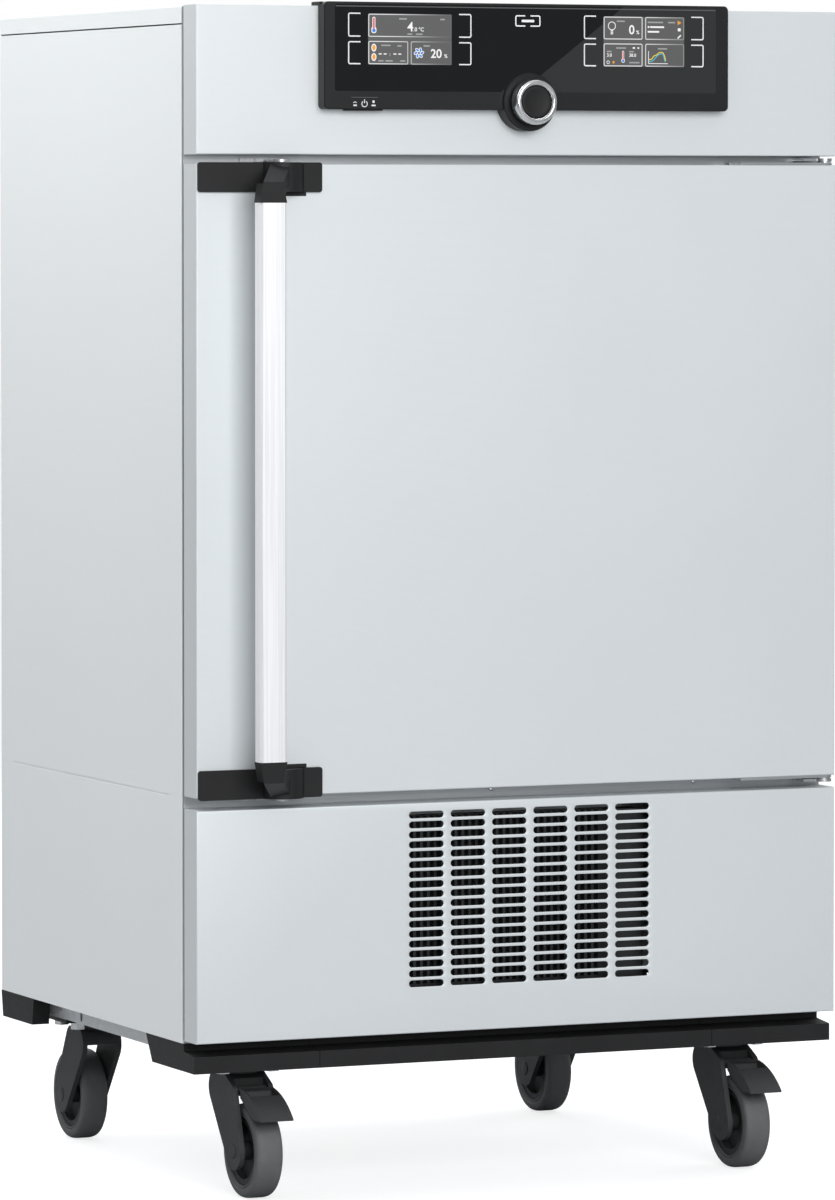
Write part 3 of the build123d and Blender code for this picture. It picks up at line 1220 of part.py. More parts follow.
def brake_pedal():
    """Hooded foot pedal over the wheel with its pivot barrel between the fork legs."""
    half = PEDAL_WIDTH / 2
    back = (-PEDAL_BACK, PEDAL_PIVOT_Z + PEDAL_RISE)
    tip = (-PEDAL_REACH, PEDAL_TIP_Z)
    crown = (-(PEDAL_BACK + PEDAL_REACH) / 2, (back[1] + tip[1]) / 2 + PEDAL_CROWN)
    heel = (-PEDAL_BACK, PEDAL_PIVOT_Z - PEDAL_SKIRT)
    toe = (-PEDAL_REACH + PEDAL_TOE, PEDAL_TIP_Z - PEDAL_WALL)
    over = ThreePointArc(back, crown, tip)
    under = Polyline(tip, (tip[0], tip[1] - PEDAL_WALL), toe, heel, back)
    hood = from_side(make_face([*over.edges(), *under.edges()]), (-half, half))
    inside_crown = (crown[0], crown[1] - PEDAL_WALL)
    inside_back = (back[0] - PEDAL_WALL, back[1] - PEDAL_WALL)
    inside_tip = (toe[0], tip[1] + PEDAL_WALL)
    inner_over = ThreePointArc(inside_back, inside_crown, inside_tip)
    inner_under = Polyline(inside_tip, (toe[0], 0), (inside_back[0], 0), inside_back)
    hollow_face = make_face([*inner_over.edges(), *inner_under.edges()])
    hood -= from_side(hollow_face, (-half + PEDAL_WALL, half - PEDAL_WALL))
    tongue_x = LEG_GAP / 2 - 2 * CLEAR - 1
    centre = (-PEDAL_PIVOT_OUT, PEDAL_PIVOT_Z)
    tongue = from_side(Pos(*centre) * Circle(PEDAL_BARREL), (-tongue_x, tongue_x))
    root = (-PEDAL_BACK - 1, -PEDAL_PIVOT_OUT)
    tongue += block((-tongue_x, tongue_x), root, (PEDAL_PIVOT_Z - PEDAL_BARREL, PEDAL_PIVOT_Z))
    bore = through_x(*centre, (-half - 1, half + 1), PEDAL_PIN + RUN)
    return hood + tongue - bore


def write_casters():
    """Plates, screws, forks, wheels and pedals at the four corners."""
    plates = []
    bolts = []
    places = {
        "front_left": Pos(-CASTER_X, FRONT_CASTER_Y, 0),
        "front_right": Pos(CASTER_X, FRONT_CASTER_Y, 0),
        "rear_left": Pos(-CASTER_X, REAR_CASTER_Y, 0) * Rot(0, 0, 180),
        "rear_right": Pos(CASTER_X, REAR_CASTER_Y, 0) * Rot(0, 0, 180),
    }
    for name, place in places.items():
        braked = name.startswith("front")
        plates.append(place * caster_plate())
        bolts += [place * screw for screw in caster_bolts()]
        save(f"caster_fork_{name}", [place * solid for solid in fork(braked)])
        save(f"caster_tread_{name}", place * tread())
        save(f"caster_hub_{name}", place * hub())
        if braked:
            save(f"brake_pedal_{name}", place * brake_pedal())
    save("caster_plates", plates)
    save("caster_bolts", bolts)


def write_cabinet():
    """Covers, chassis, base and refrigeration parts."""
    right = side_panel()
    save("right_side_panel", right)
    save("left_side_panel", mirror(right, about=Plane.YZ))
    save("top_cover", top_cover())
    save("rear_panel", rear_panel())
    save("front_frame", front_frame())
    save("upper_front_panel", upper_front_panel())
    save("lower_front_panel", lower_front_panel())
    save("base_frame", base_frame())
    save("front_bar", front_bar())
    save("front_corners", mirrored(front_corner()))
    save("rear_feet", mirrored(rear_foot()))
    save("condenser", condenser())
    save("fan_shroud", fan_shroud())
    save("condenser_fan", condenser_fan())
    save("compressor", compressor())
    save("mains_inlet", mains_inlet())


def write_chamber():
    """Liner, insulation, seal, air circulation, shelves and glass door."""
    save("chamber_liner", chamber_liner())
    save("chamber_insulation", chamber_insulation())
    save("chamber_seal", chamber_seal())
    save("air_baffle", air_baffle())
    save("chamber_fan", chamber_fan())
    save("shelves", [shelf(level) for level in SHELF_LEVELS])
    save("glass_door", glass_pane())
    save("glass_door_fittings", glass_fittings())
    save("glass_door_brackets", glass_brackets())


def write_door():
    """Outer door, hinges, handle and latch."""
    save("door_shell", door_shell())
    save("door_insulation", door_insulation())
    save("door_inner_panel", door_inner_panel())
    save("hinge_leaves", hinge_leaves())
    save("hinge_brackets", hinge_brackets())
    save("handle_plates", handle_plates())
    save("handle_bar", handle_bar())
    save("handle_arms", [handle_arm(plate, way) for plate, way in handle_levels()])
    save("latch_shafts", [latch_shaft(plate, way) for plate, way in handle_levels()])
    save("latch_strikers", latch_strikers())


def write_controls():
    """Control housing, glass, screens, knob and switch."""
    save("cockpit_housing", cockpit_housing())
    save("cockpit_pane", cockpit_pane())
    save("display_screens", [screen(side) for side in (-1, 1)])
    save("knob_spindle", knob_spindle())
    save("knob_ring", knob_ring())
    save("knob_cap", knob_cap())
    save("main_switch", main_switch())


os.makedirs("parts", exist_ok=True)
write_cabinet()
write_chamber()
write_door()
write_controls()
write_casters()
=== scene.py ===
import json
import math
import bmesh
import bpy
import numpy as np
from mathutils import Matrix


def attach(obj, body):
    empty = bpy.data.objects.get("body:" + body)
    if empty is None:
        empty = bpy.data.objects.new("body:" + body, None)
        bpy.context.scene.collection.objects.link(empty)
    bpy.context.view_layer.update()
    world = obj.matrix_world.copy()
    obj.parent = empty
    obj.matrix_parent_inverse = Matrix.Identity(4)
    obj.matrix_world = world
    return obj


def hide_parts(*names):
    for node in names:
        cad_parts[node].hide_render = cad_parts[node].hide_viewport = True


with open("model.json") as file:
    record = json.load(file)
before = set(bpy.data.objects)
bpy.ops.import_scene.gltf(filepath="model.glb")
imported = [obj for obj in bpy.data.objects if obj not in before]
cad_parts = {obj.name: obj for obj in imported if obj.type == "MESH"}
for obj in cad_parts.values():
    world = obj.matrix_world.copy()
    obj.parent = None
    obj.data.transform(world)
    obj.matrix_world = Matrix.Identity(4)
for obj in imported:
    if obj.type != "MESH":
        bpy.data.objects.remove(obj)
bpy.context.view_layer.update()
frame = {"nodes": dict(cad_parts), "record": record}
NODES = frame["nodes"]

# The cabinet's front plane and its left edge in the row's frame, in metres
FRONT = -0.279
LEFT = -0.3725
MILLIMETRE = 0.001

# Radians per metre of the finest lines, one line every 0.7 mm
FINE_WAVE = 9000.0

# Places on the object are in millimetres from the cabinet's left edge, its front plane and the
# floor. The camera, the lamps and the numbers in materials are in metres.
CABINET_WIDTH = 745.0
KNOB_X, KNOB_Z = 372.5, 1154.5
WHEEL_Z = 50.0
CASTERS = {"front_left": (86.7, 57.0), "front_right": (658.3, 57.0),
           "rear_left": (86.7, 564.0), "rear_right": (658.3, 564.0)}

# Depths of the control panel's prints and display pictures, from the glass outwards
GLASS = -16.2
GLASS_EDGE = GLASS - 0.03
PICTURE = GLASS - 0.06
LINES = GLASS - 0.12
SIGNS = GLASS - 0.18
OVER_SIGNS = SIGNS - 0.05
BEZEL_PRINT = -16.56

# The displays: the x range of each, their common z range, and the z ranges of their tiles
LEFT_DISPLAY = (187.4, 283.0)
RIGHT_DISPLAY = (459.7, 554.8)
DISPLAY_Z = (1192.9, 1245.9)
UPPER_TILES = (1222.2, 1245.3)
LOWER_TILES = (1193.6, 1216.9)

# The air slots: their number, their pitch, half of a slot's height, half of its middle line,
# and the middle of the topmost row
SLOT_COLUMNS, SLOT_ROWS = 6, 18
SLOT_PITCH_X, SLOT_PITCH_Z = 48.14, 10.5
SLOT_RADIUS, SLOT_END = 3.65, 16.35
SLOTS_X, SLOTS_TOP = 381.6, 402.8

# The lower panel's z range, its sheet, the round of its folds and the depth of its rim
PANEL_Z = (171.9, 415.4)
SHEET = 1.2
FOLD_ROUND = 1.5
RIM_DEPTH = 35.0

# The faces that screw heads sit on: the frame in the gap under the door, the rear sheet, and a
# fork leg's outer face, from the wheel's middle
GAP_Y, GAP_Z = 37.4, 424.6
REAR_Y = 582.8
FORK_FACE = 22.9


def paint(red, green, blue):
    """A colour written in display numbers from 0 to 255, as linear light (the sRGB curve)."""
    parts = []
    for part in (red, green, blue):
        part /= 255
        parts.append(part / 12.92 if part <= 0.04045 else ((part + 0.055) / 1.055) ** 2.4)
    return (*parts, 1.0)


def shade(colour, change):
    """A colour made lighter or darker by a factor."""
    return tuple(min(part * change, 1.0) for part in colour[:3]) + (1.0,)


class Value:
    """A number on a shader socket: arithmetic on it adds Math nodes."""

    def __init__(self, finish, socket):
        self.finish = finish
        self.socket = socket

    def math(self, operation, first, second=0.0):
        return self.finish.node("Math", {"operation": operation}, {0: first, 1: second})

    def __add__(self, other):
        return self.math("ADD", self, other)

    def __sub__(self, other):
        return self.math("SUBTRACT", self, other)

    def __rsub__(self, other):
        return self.math("SUBTRACT", other, self)

    def __mul__(self, other):
        return self.math("MULTIPLY", self, other)

    def __pow__(self, other):
        return self.math("POWER", self, other)

    def sin(self):
        return self.math("SINE", self)

    def above(self, other):
        return self.math("GREATER_THAN", self, other)

    def ramp(self, low, high, start=0.0, end=1.0):
        """Smooth change from start to end while the value goes from low to high."""
        values = {"Value": self, 1: low, 2: high, 3: start, 4: end}
        return self.finish.node("MapRange", {"interpolation_type": "SMOOTHSTEP"}, values)


class Finish:
    """One material: a Principled shader and the nodes that feed it."""

    def __init__(self, name, **constants):
        self.material = bpy.data.materials.new(name)
        self.material.use_nodes = True
        self.tree = self.material.node_tree
        self.tree.nodes.clear()
        self.shader = self.tree.nodes.new("ShaderNodeBsdfPrincipled")
        out = self.tree.nodes.new("ShaderNodeOutputMaterial")
        self.tree.links.new(self.shader.outputs[0], out.inputs[0])
        self.set(**constants)
        self.place = self.node("TexCoord", output="Object")

    def node(self, kind, settings=None, inputs=None, output=0):
        """Add a node, its settings first and its inputs after them, and give one of its outputs."""
        made = self.tree.nodes.new("ShaderNode" + kind)
        for key, value in (settings or {}).items():
            setattr(made, key, value)
        for key, value in (inputs or {}).items():
            self.feed(made.inputs[key], value)
        return Value(self, made.outputs[output])

    def feed(self, socket, value):
        """Link a value to a socket, or set a constant on it."""
        if isinstance(value, Value):
            self.tree.links.new(value.socket, socket)
        else:
            socket.default_value = value

    def set(self, **inputs):
        """Feed the shader's own sockets."""
        for key, value in inputs.items():
            self.feed(self.shader.inputs[key.replace("_", " ")], value)

    def axis(self, name):
        """One coordinate of the place on the object, in metres."""
        return self.node("SeparateXYZ", inputs={0: self.place}, output=name)

    def stretched(self, x, y, z):
        """The place with each axis scaled."""
        return self.node("Mapping", inputs={"Vector": self.place, "Scale": (x, y, z)})

    def noise(self, scale, detail=2.0, place=None):
        """Cloudy noise from 0 to 1 at a scale in cells per metre."""
        values = {"Vector": place or self.place, "Scale": scale, "Detail": detail}
        return self.node("TexNoise", inputs=values)

    def blend(self, factor, first, second):
        """A colour between two others."""
        settings = {"data_type": "RGBA"}
        return self.node("Mix", settings, {0: factor, 6: first, 7: second}, output=2)

    def bump(self, height, distance, strength):
        """Small relief: height 0 to 1 stands for this distance in metres."""
        values = {"Height": height, "Distance": distance, "Strength": strength}
        self.set(Normal=self.node("Bump", inputs=values))
        return self


def powder_coat(name, colour):
    """Baked paint: orange peel, faint clouds and a fine sparkle of lighter and darker grains."""
    made = Finish(name)
    grain = made.noise(620.0, detail=1.0)
    cloud = made.noise(3.0, detail=3.0).ramp(0.35, 0.65)
    base = made.blend(cloud, shade(colour, 0.985), shade(colour, 1.01))
    made.set(Base_Color=made.blend(grain.ramp(0.3, 0.75) * 0.6, shade(colour, 0.94), base))
    made.set(Roughness=grain.ramp(0.3, 0.7, 0.37, 0.47))
    return made.bump(grain, distance=0.00004, strength=0.35).material


def linen_steel(name, colour):
    """Stainless sheet embossed with rows of small offset dimples, as in woven linen: the product
    of the sine of x + y and the sine of z. The colour is darker in the dimples' hollows:
    painted shade."""
    made = Finish(name, Metallic=0.25)
    pitch = 0.0023
    wave = 2 * math.pi / pitch
    x, y, z = (made.axis(name) * wave for name in "XYZ")
    weave = (x + y).sin() * z.sin()
    cloud = made.noise(2.2, detail=3.0)
    base = made.blend(cloud.ramp(0.35, 0.65), shade(colour, 0.98), shade(colour, 1.01))
    # painted shade: the colour darkens where the weave is low, in the dimples' hollows
    made.set(Base_Color=made.blend(weave.ramp(-0.2, -0.8) * 0.55, base, shade(colour, 0.78)))
    made.set(Roughness=weave * 0.05 + 0.42)
    return made.bump(weave * 0.5 + 0.5, distance=0.0001, strength=0.5).material


def brushed(name, colour, roughness, along="X", metal=1.0):
    """Metal with fine brush lines along one axis."""
    made = Finish(name, Metallic=metal)
    scales = [6.0 if axis == along else 900.0 for axis in "XYZ"]
    lines = made.noise(1.0, detail=3.0, place=made.stretched(*scales))
    made.set(Base_Color=made.blend(lines.ramp(0.3, 0.7), shade(colour, 0.93), shade(colour, 1.05)))
    made.set(Roughness=lines.ramp(0.3, 0.7, roughness - 0.05, roughness + 0.07))
    return made.bump(lines, distance=0.00002, strength=0.3).material


def grained(name, colour, roughness, grain=1400.0):
    """Moulded plastic with a fine spark-eroded grain."""
    made = Finish(name, Specular_IOR_Level=0.22)
    spots = made.noise(grain)
    cloud = made.noise(14.0, detail=3.0)
    made.set(Base_Color=made.blend(cloud.ramp(0.3, 0.7), shade(colour, 0.9), shade(colour, 1.12)))
    made.set(Roughness=spots.ramp(0.3, 0.7, roughness - 0.06, roughness + 0.08))
    return made.bump(spots, distance=0.00006, strength=0.5).material


def plated(name, colour, roughness):
    """Zinc plating: soft spangle and a little dulling."""
    made = Finish(name, Metallic=0.85)
    spangle = {"Vector": made.place, "Scale": 160.0}
    cells = made.node("TexVoronoi", {"feature": "F1"}, spangle, "Color")
    grey = made.node("SeparateXYZ", inputs={0: cells}, output="X")
    cloud = made.noise(30.0, detail=3.0)
    tone = grey * 0.5 + cloud * 0.5
    made.set(Base_Color=made.blend(tone, shade(colour, 0.82), shade(colour, 1.15)))
    made.set(Roughness=tone.ramp(0.2, 0.8, roughness - 0.06, roughness + 0.1))
    return made.bump(made.noise(600.0), distance=0.00002, strength=0.4).material


def soft_rubber(name, colour, dust):
    """Wheel rubber: an even grey with patches of dust."""
    made = Finish(name)
    grain = made.noise(900.0)
    cloud = made.noise(60.0, detail=4.0)
    made.set(Base_Color=made.blend(cloud.ramp(0.45, 0.75) * 0.3, colour, dust))
    made.set(Roughness=cloud.ramp(0.3, 0.7, 0.62, 0.74))
    return made.bump(grain, distance=0.00006, strength=0.5).material


def dark_glass(name, left, right):
    """Control glass: near black, with a painted reflection: a lighter part to the right of a
    slanting line, x = 0.05 + 1.32 (z - 1.21) in metres."""
    made = Finish(name, Specular_IOR_Level=0.3)
    painted_reflection_line = made.axis("X") - (made.axis("Z") - 1.21) * 1.32
    # painted reflection: the second colour is a soft reflection painted on the right part of the
    # glass
    made.set(Base_Color=made.blend(painted_reflection_line.ramp(0.049, 0.0505), left, right))
    made.set(Roughness=made.noise(40.0).ramp(0.3, 0.7, 0.1, 0.16))
    return made.material


def clear_pane(name):
    """Thin clear glass with a faint green cast."""
    made = Finish(name, Roughness=0.02, Transmission_Weight=1.0, IOR=1.45)
    haze = made.noise(5.0)
    made.set(Base_Color=made.blend(haze, (0.93, 0.97, 0.955, 1), (0.96, 0.985, 0.975, 1)))
    made.set(Alpha=haze.ramp(0.3, 0.7, 0.32, 0.36))
    return made.material


def spun(name, colour, centre_x, centre_z):
    """Turned metal: the sine of the distance from a centre in the front plane makes fine rings."""
    made = Finish(name, Metallic=1.0)
    x = made.axis("X") - (centre_x * MILLIMETRE + LEFT)
    z = made.axis("Z") - centre_z * MILLIMETRE
    rings = (((x * x + z * z) ** 0.5) * FINE_WAVE).sin()
    made.set(Base_Color=made.blend(rings.ramp(-1.0, 1.0), shade(colour, 0.9), shade(colour, 1.06)))
    made.set(Roughness=rings * 0.03 + 0.2)
    return made.bump(rings, distance=0.00001, strength=0.3).material


def picture(name, **constants):
    """The ground of every display picture: a dark satin face that gives light."""
    return Finish(name, Roughness=0.35, Base_Color=(0.01, 0.01, 0.01, 1), **constants)


def lit(name, colour, strength=1.0):
    """Part of a display picture: light of its own colour with a faint pixel grid."""
    made = picture(name, Emission_Strength=strength)
    pixels = (made.axis("X") * FINE_WAVE).sin() * (made.axis("Z") * FINE_WAVE).sin()
    light = made.blend(pixels.ramp(-1.0, 1.0), shade(colour, 0.92), shade(colour, 1.06))
    made.set(Emission_Color=light)
    return made.material


def fading(name, bright, dim):
    """Tile outlines of the displays: bright at a display's left, dim at its right. The second
    display is the one past the object's middle, x = 0, and its outlines stay brighter."""
    made = picture(name, Emission_Strength=1.0)
    x = made.axis("X")
    left = x.ramp(0.2 + LEFT, 0.283 + LEFT)
    right = x.ramp(0.5 + LEFT, 0.556 + LEFT, end=0.75)
    second = x.above(0.0)
    made.set(Emission_Color=made.blend(left * (1 - second) + right * second, bright, dim))
    return made.material


finishes = {
    "white_paint": powder_coat("white_paint", paint(232, 236, 237)),
    "textured_steel": linen_steel("textured_steel", paint(210, 215, 217)),
    "plain_steel": brushed("plain_steel", paint(186, 189, 191), 0.36),
    "zinc_steel": plated("zinc_steel", paint(206, 208, 210), 0.38),
    "bright_zinc": plated("bright_zinc", paint(224, 226, 228), 0.25),
    "caster_plastic": grained("caster_plastic", paint(60, 61, 62), 0.5, 900.0),
    "black_metal": grained("black_metal", paint(34, 34, 35), 0.45),
    "black_plastic": grained("black_plastic", paint(30, 30, 31), 0.5),
    "dark_plastic": grained("dark_plastic", paint(26, 27, 28), 0.42),
    "aluminium_bar": brushed("aluminium_bar", paint(232, 232, 234), 0.4, "Z", 0.35),
    "knob_metal": spun("knob_metal", paint(226, 227, 228), KNOB_X, KNOB_Z),
    # control glass: near black, and a lighter grey that is a painted reflection
    "control_glass": dark_glass("control_glass", paint(14, 15, 16), paint(44, 46, 46)),
    "screen": grained("screen", paint(50, 50, 52), 0.3),
    "clear_glass": clear_pane("clear_glass"),
    "foam": grained("foam", paint(224, 214, 178), 0.9),
    "seal": grained("seal", paint(150, 152, 154), 0.6),
    "tyre": soft_rubber("tyre", paint(90, 91, 92), paint(108, 108, 107)),
    "wheel_core": grained("wheel_core", paint(50, 51, 52), 0.5),
    "fins": brushed("fins", paint(58, 60, 62), 0.35, "Z", 0.7),
    "compressor_black": grained("compressor_black", paint(26, 26, 27), 0.3, 300.0),
}
prints = {
    "print_white": grained("print_white", paint(226, 227, 228), 0.4),
    "picture_ground": lit("picture_ground", paint(84, 84, 85)),
    "picture_frame": fading("picture_frame", paint(222, 222, 222), paint(96, 96, 97)),
    "picture_white": lit("picture_white", paint(245, 245, 245)),
    "picture_grey": lit("picture_grey", paint(158, 159, 160)),
    "picture_red": lit("picture_red", paint(226, 40, 52)),
    "picture_blue": lit("picture_blue", paint(38, 128, 226)),
    "picture_orange": lit("picture_orange", paint(240, 160, 40)),
    "picture_yellow": lit("picture_yellow", paint(240, 205, 70)),
    "picture_cyan": lit("picture_cyan", paint(60, 190, 205)),
    # painted highlight: a grey glowing line that stands for light caught on the edges of the switch
    # and the glass
    "painted_edge_highlight": lit("painted_edge_highlight", paint(92, 94, 95), 0.8),
}

for part in frame["record"]["subparts"]:
    node = NODES[part["node"]]
    node.data.materials.clear()
    node.data.materials.append(finishes[part["material_slot"]])


class Form:
    """Sheets of points, in millimetres, that become one mesh."""

    def __init__(self):
        self.points = []
        self.faces = []
        self.count = 0

    def add(self, points, faces):
        """Gather points, and faces that number them from 0."""
        self.faces += [[self.count + corner for corner in face] for face in faces]
        self.points.append(points)
        self.count += len(points)

    def sheet(self, grid, closed=False, towards=None):
        """A grid of points, rows by columns. Closed joins the last column to the first one, and
        towards is a direction that every face has to look in."""
        rows, columns = grid.shape[:2]
        index = np.arange(rows * columns).reshape(rows, columns)
        ahead = np.roll(index, -1, axis=1)
        if not closed:
            index, ahead = index[:, :-1], ahead[:, :-1]
        faces = np.stack([index[:-1], ahead[:-1], ahead[1:], index[1:]], axis=-1).reshape(-1, 4)
        points = grid.reshape(-1, 3)
        if towards:
            corner = points[faces]
            normal = np.cross(corner[:, 2] - corner[:, 0], corner[:, 3] - corner[:, 1])
            turned_away = normal @ np.array(towards) < 0
            faces[turned_away] = faces[turned_away][:, ::-1]
        self.add(points, faces.tolist())
        return self

    def piece(self, name, body, slot, nodes=(), finish=None, solid=True, sharp=38):
        """Make the mesh in metres, with doubles merged, its finish and the body it rides on."""
        mesh = bpy.data.meshes.new(name)
        points = np.concatenate(self.points) * MILLIMETRE + (LEFT, FRONT, 0.0)
        mesh.from_pydata(points, [], self.faces)
        work = bmesh.new()
        work.from_mesh(mesh)
        bmesh.ops.remove_doubles(work, verts=work.verts, dist=MILLIMETRE / 1000)
        if solid:
            bmesh.ops.recalc_face_normals(work, faces=work.faces)
        work.to_mesh(mesh)
        work.free()
        mesh.shade_smooth()
        mesh.set_sharp_from_angle(angle=math.radians(sharp))
        mesh.materials.append(finish or finishes[slot])
        made = bpy.data.objects.new(name, mesh)
        bpy.context.scene.collection.objects.link(made)
        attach(made, body)
        if nodes:
            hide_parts(*nodes)

    def print_on(self, name, slot, finish):
        """Make a flat print of the control panel."""
        self.piece(name, "cabinet", slot, finish=prints[finish], solid=False)


def rounded(points, radius, steps=7, closed=True):
    """A line with its corners turned into parabolas: (1-t)^2 before + 2t(1-t) corner + t^2 after,
    where before and after lie on the two runs at the radius from the corner."""
    points = np.array(points, float)
    radius = np.broadcast_to(np.array(radius, float), len(points))[:, None]
    ends = []
    for other in (np.roll(points, 1, axis=0), np.roll(points, -1, axis=0)):
        run = other - points
        length = np.linalg.norm(run, axis=1, keepdims=True)
        ends.append(points + run / length * np.minimum(radius, length / 2))
    t = np.linspace(0, 1, steps)[:, None, None]
    arcs = (1 - t) ** 2 * ends[0] + 2 * t * (1 - t) * points + t ** 2 * ends[1]
    line = arcs.transpose(1, 0, 2).reshape(-1, points.shape[1])
    if closed:
        return line
    return np.concatenate([points[:1], line[steps:-steps], points[-1:]])


def turned(profile, axis, centre, steps=72):
    """A closed profile of (radius, height) points turned about an axis: radius times the cosine
    and sine of the angle across the axis, and the height along it, all moved to the centre."""
    profile = np.array(profile, float)
    angle = np.linspace(0, 2 * np.pi, steps, endpoint=False)
    across = profile[:, :1] * np.cos(angle)
    other = profile[:, :1] * np.sin(angle)
    along = np.repeat(profile[:, 1:], steps, axis=1)
    order = {"X": (along, across, other), "Y": (across, along, other)}
    ring = np.stack(order[axis], axis=-1) + np.array(centre, float)
    return np.concatenate([ring, ring[:1]])


def stand(flat, depth):
    """Points of the front plane, (x, z), set at a depth."""
    depths = np.full(flat.shape[:-1], float(depth))
    return np.stack([flat[..., 0], depths, flat[..., 1]], axis=-1)


def oval(x, z, half_width, half_height, turn=0.0):
    """An ellipse: the centre plus cosine and sine of the angle times its half sizes, turned."""
    angle = np.linspace(0, 2 * np.pi, 28, endpoint=False)
    wide = half_width * np.cos(angle)
    high = half_height * np.sin(angle)
    cosine, sine = math.cos(turn), math.sin(turn)
    return np.stack([x + wide * cosine - high * sine, z + wide * sine + high * cosine], axis=-1)


def frame_line(x0, x1, z0, z1, corner):
    """A rectangle's outline with rounded corners."""
    return rounded([(x0, z0), (x1, z0), (x1, z1), (x0, z1)], corner)


def fill(form, line, depth):
    """A flat face: the middle of a closed line joined to each of its points."""
    rows = np.stack([np.broadcast_to(line.mean(axis=0), line.shape), line])
    form.sheet(stand(rows, depth), closed=True, towards=(0, -1, 0))


def stroke(form, line, width, depth, closed=False):
    """A flat band: each point of a line moved half the width to both sides, along its normal."""
    line = np.array(line, float)
    if closed:
        ahead = np.roll(line, -1, axis=0) - np.roll(line, 1, axis=0)
    else:
        ahead = np.gradient(line, axis=0)
    normal = np.stack([-ahead[:, 1], ahead[:, 0]], axis=1)
    normal *= width / 2 / np.linalg.norm(normal, axis=1, keepdims=True)
    rows = np.stack([line - normal, line + normal])
    form.sheet(stand(rows, depth), closed=closed, towards=(0, -1, 0))


def bar(form, x0, x1, z, height, depth):
    """A short flat bar that stands for a word."""
    fill(form, frame_line(x0, x1, z - height / 2, z + height / 2, height * 0.3), depth)


def figures(form, text, x, z, height, depth):
    """Digits and signs as flat faces, stood upright with their foot at z. A digit's height is
    0.7 of the letter size, and the offset thickens the strokes a little."""
    curve = bpy.data.curves.new("figures", "FONT")
    curve.body = text
    curve.size = height / 0.7
    curve.offset = height * 0.022
    holder = bpy.data.objects.new("figures", curve)
    mesh = bpy.data.meshes.new_from_object(holder)
    flat = np.empty(len(mesh.vertices) * 3)
    mesh.vertices.foreach_get("co", flat)
    flat = flat.reshape(-1, 3)[:, :2] + (x, z)
    form.add(stand(flat, depth), [face.vertices for face in mesh.polygons])
    bpy.data.objects.remove(holder)
    bpy.data.curves.remove(curve)
    bpy.data.meshes.remove(mesh)


def key_brackets():
    """Marks of the touch keys beside both displays and round the menu key: a line round three
    sides of each, from the front corner to the back and again to the front."""
    keys = Form()
    beside = ((165.2, 178.6), (305.2, 291.6), (437.2, 450.8), (577.3, 563.2))
    marks = [(*ends, *heights) for ends in beside
             for heights in ((1222.3, 1246.1), (1193.5, 1216.4))]
    marks += [(357.2, 368.2, 1234.8, 1245.5), (385.2, 374.2, 1234.8, 1245.5)]
    for back, front, low, high in marks:
        corners = [(front, low), (back, low), (back, high), (front, high)]
        stroke(keys, rounded(corners, 1.8, closed=False), 1.3, LINES)
    bar(keys, 364.0, 378.6, 1240.1, 2.6, LINES)
    keys.print_on("key_brackets", "control_glass", "print_white")


def power_marks():
    """The main switch's signs on the bezel, arrow, power sign and key sign, with a bar in place
    of each word, and two painted highlights that glow: one along the switch's edge and one
    along the glass's upper edge."""
    marks = Form()
    middle_x, middle_z, size = 183.2, 1151.6, 3.1
    angle = np.radians(np.linspace(125, 415, 30))
    ring = np.stack([middle_x + size * np.cos(angle), middle_z + size * np.sin(angle)], axis=-1)
    stroke(marks, ring, 0.9, BEZEL_PRINT)
    stroke(marks, [(middle_x, 1152.2), (middle_x, 1156.2)], 0.9, BEZEL_PRINT)
    stroke(marks, [(170.6, 1152.6), (172.4, 1153.8), (174.2, 1152.6)], 0.8, BEZEL_PRINT)
    bar(marks, 170.4, 174.4, 1150.0, 1.6, BEZEL_PRINT)
    fill(marks, frame_line(192.2, 194.6, 1152.6, 1155.2, 0.4), BEZEL_PRINT)
    bar(marks, 191.0, 195.8, 1150.0, 1.6, BEZEL_PRINT)
    marks.print_on("power_marks", "dark_plastic", "print_white")
    # painted highlights: thin glowing lines along the switch's edge and the glass's upper edge
    edge = Form()
    stroke(edge, [(168.0, 1158.4), (198.4, 1158.4)], 0.5, BEZEL_PRINT)
    edge.print_on("switch_edge_highlight", "dark_plastic", "painted_edge_highlight")
    line = Form()
    stroke(line, [(150.6, 1253.6), (592.0, 1253.6)], 1.0, GLASS_EDGE)
    line.print_on("glass_top_highlight", "control_glass", "painted_edge_highlight")


def display_grounds():
    """The displays' grey grounds and the outlines of their tiles."""
    ground = Form()
    frames = Form()
    for display in (LEFT_DISPLAY, RIGHT_DISPLAY):
        fill(ground, frame_line(*display, *DISPLAY_Z, 0.6), PICTURE)
    tiles = [(188.1, 282.3, UPPER_TILES)]
    tiles += [(188.1, 232.6, LOWER_TILES), (236.6, 282.3, LOWER_TILES)]
    tiles += [(x0, x1, heights) for heights in (UPPER_TILES, LOWER_TILES)
              for x0, x1 in ((460.3, 505.0), (509.2, 554.2))]
    for x0, x1, heights in tiles:
        stroke(frames, frame_line(x0, x1, *heights, 1.4), 1.0, LINES, closed=True)
    ground.print_on("display_ground", "screen", "picture_ground")
    frames.print_on("display_tiles", "screen", "picture_frame")


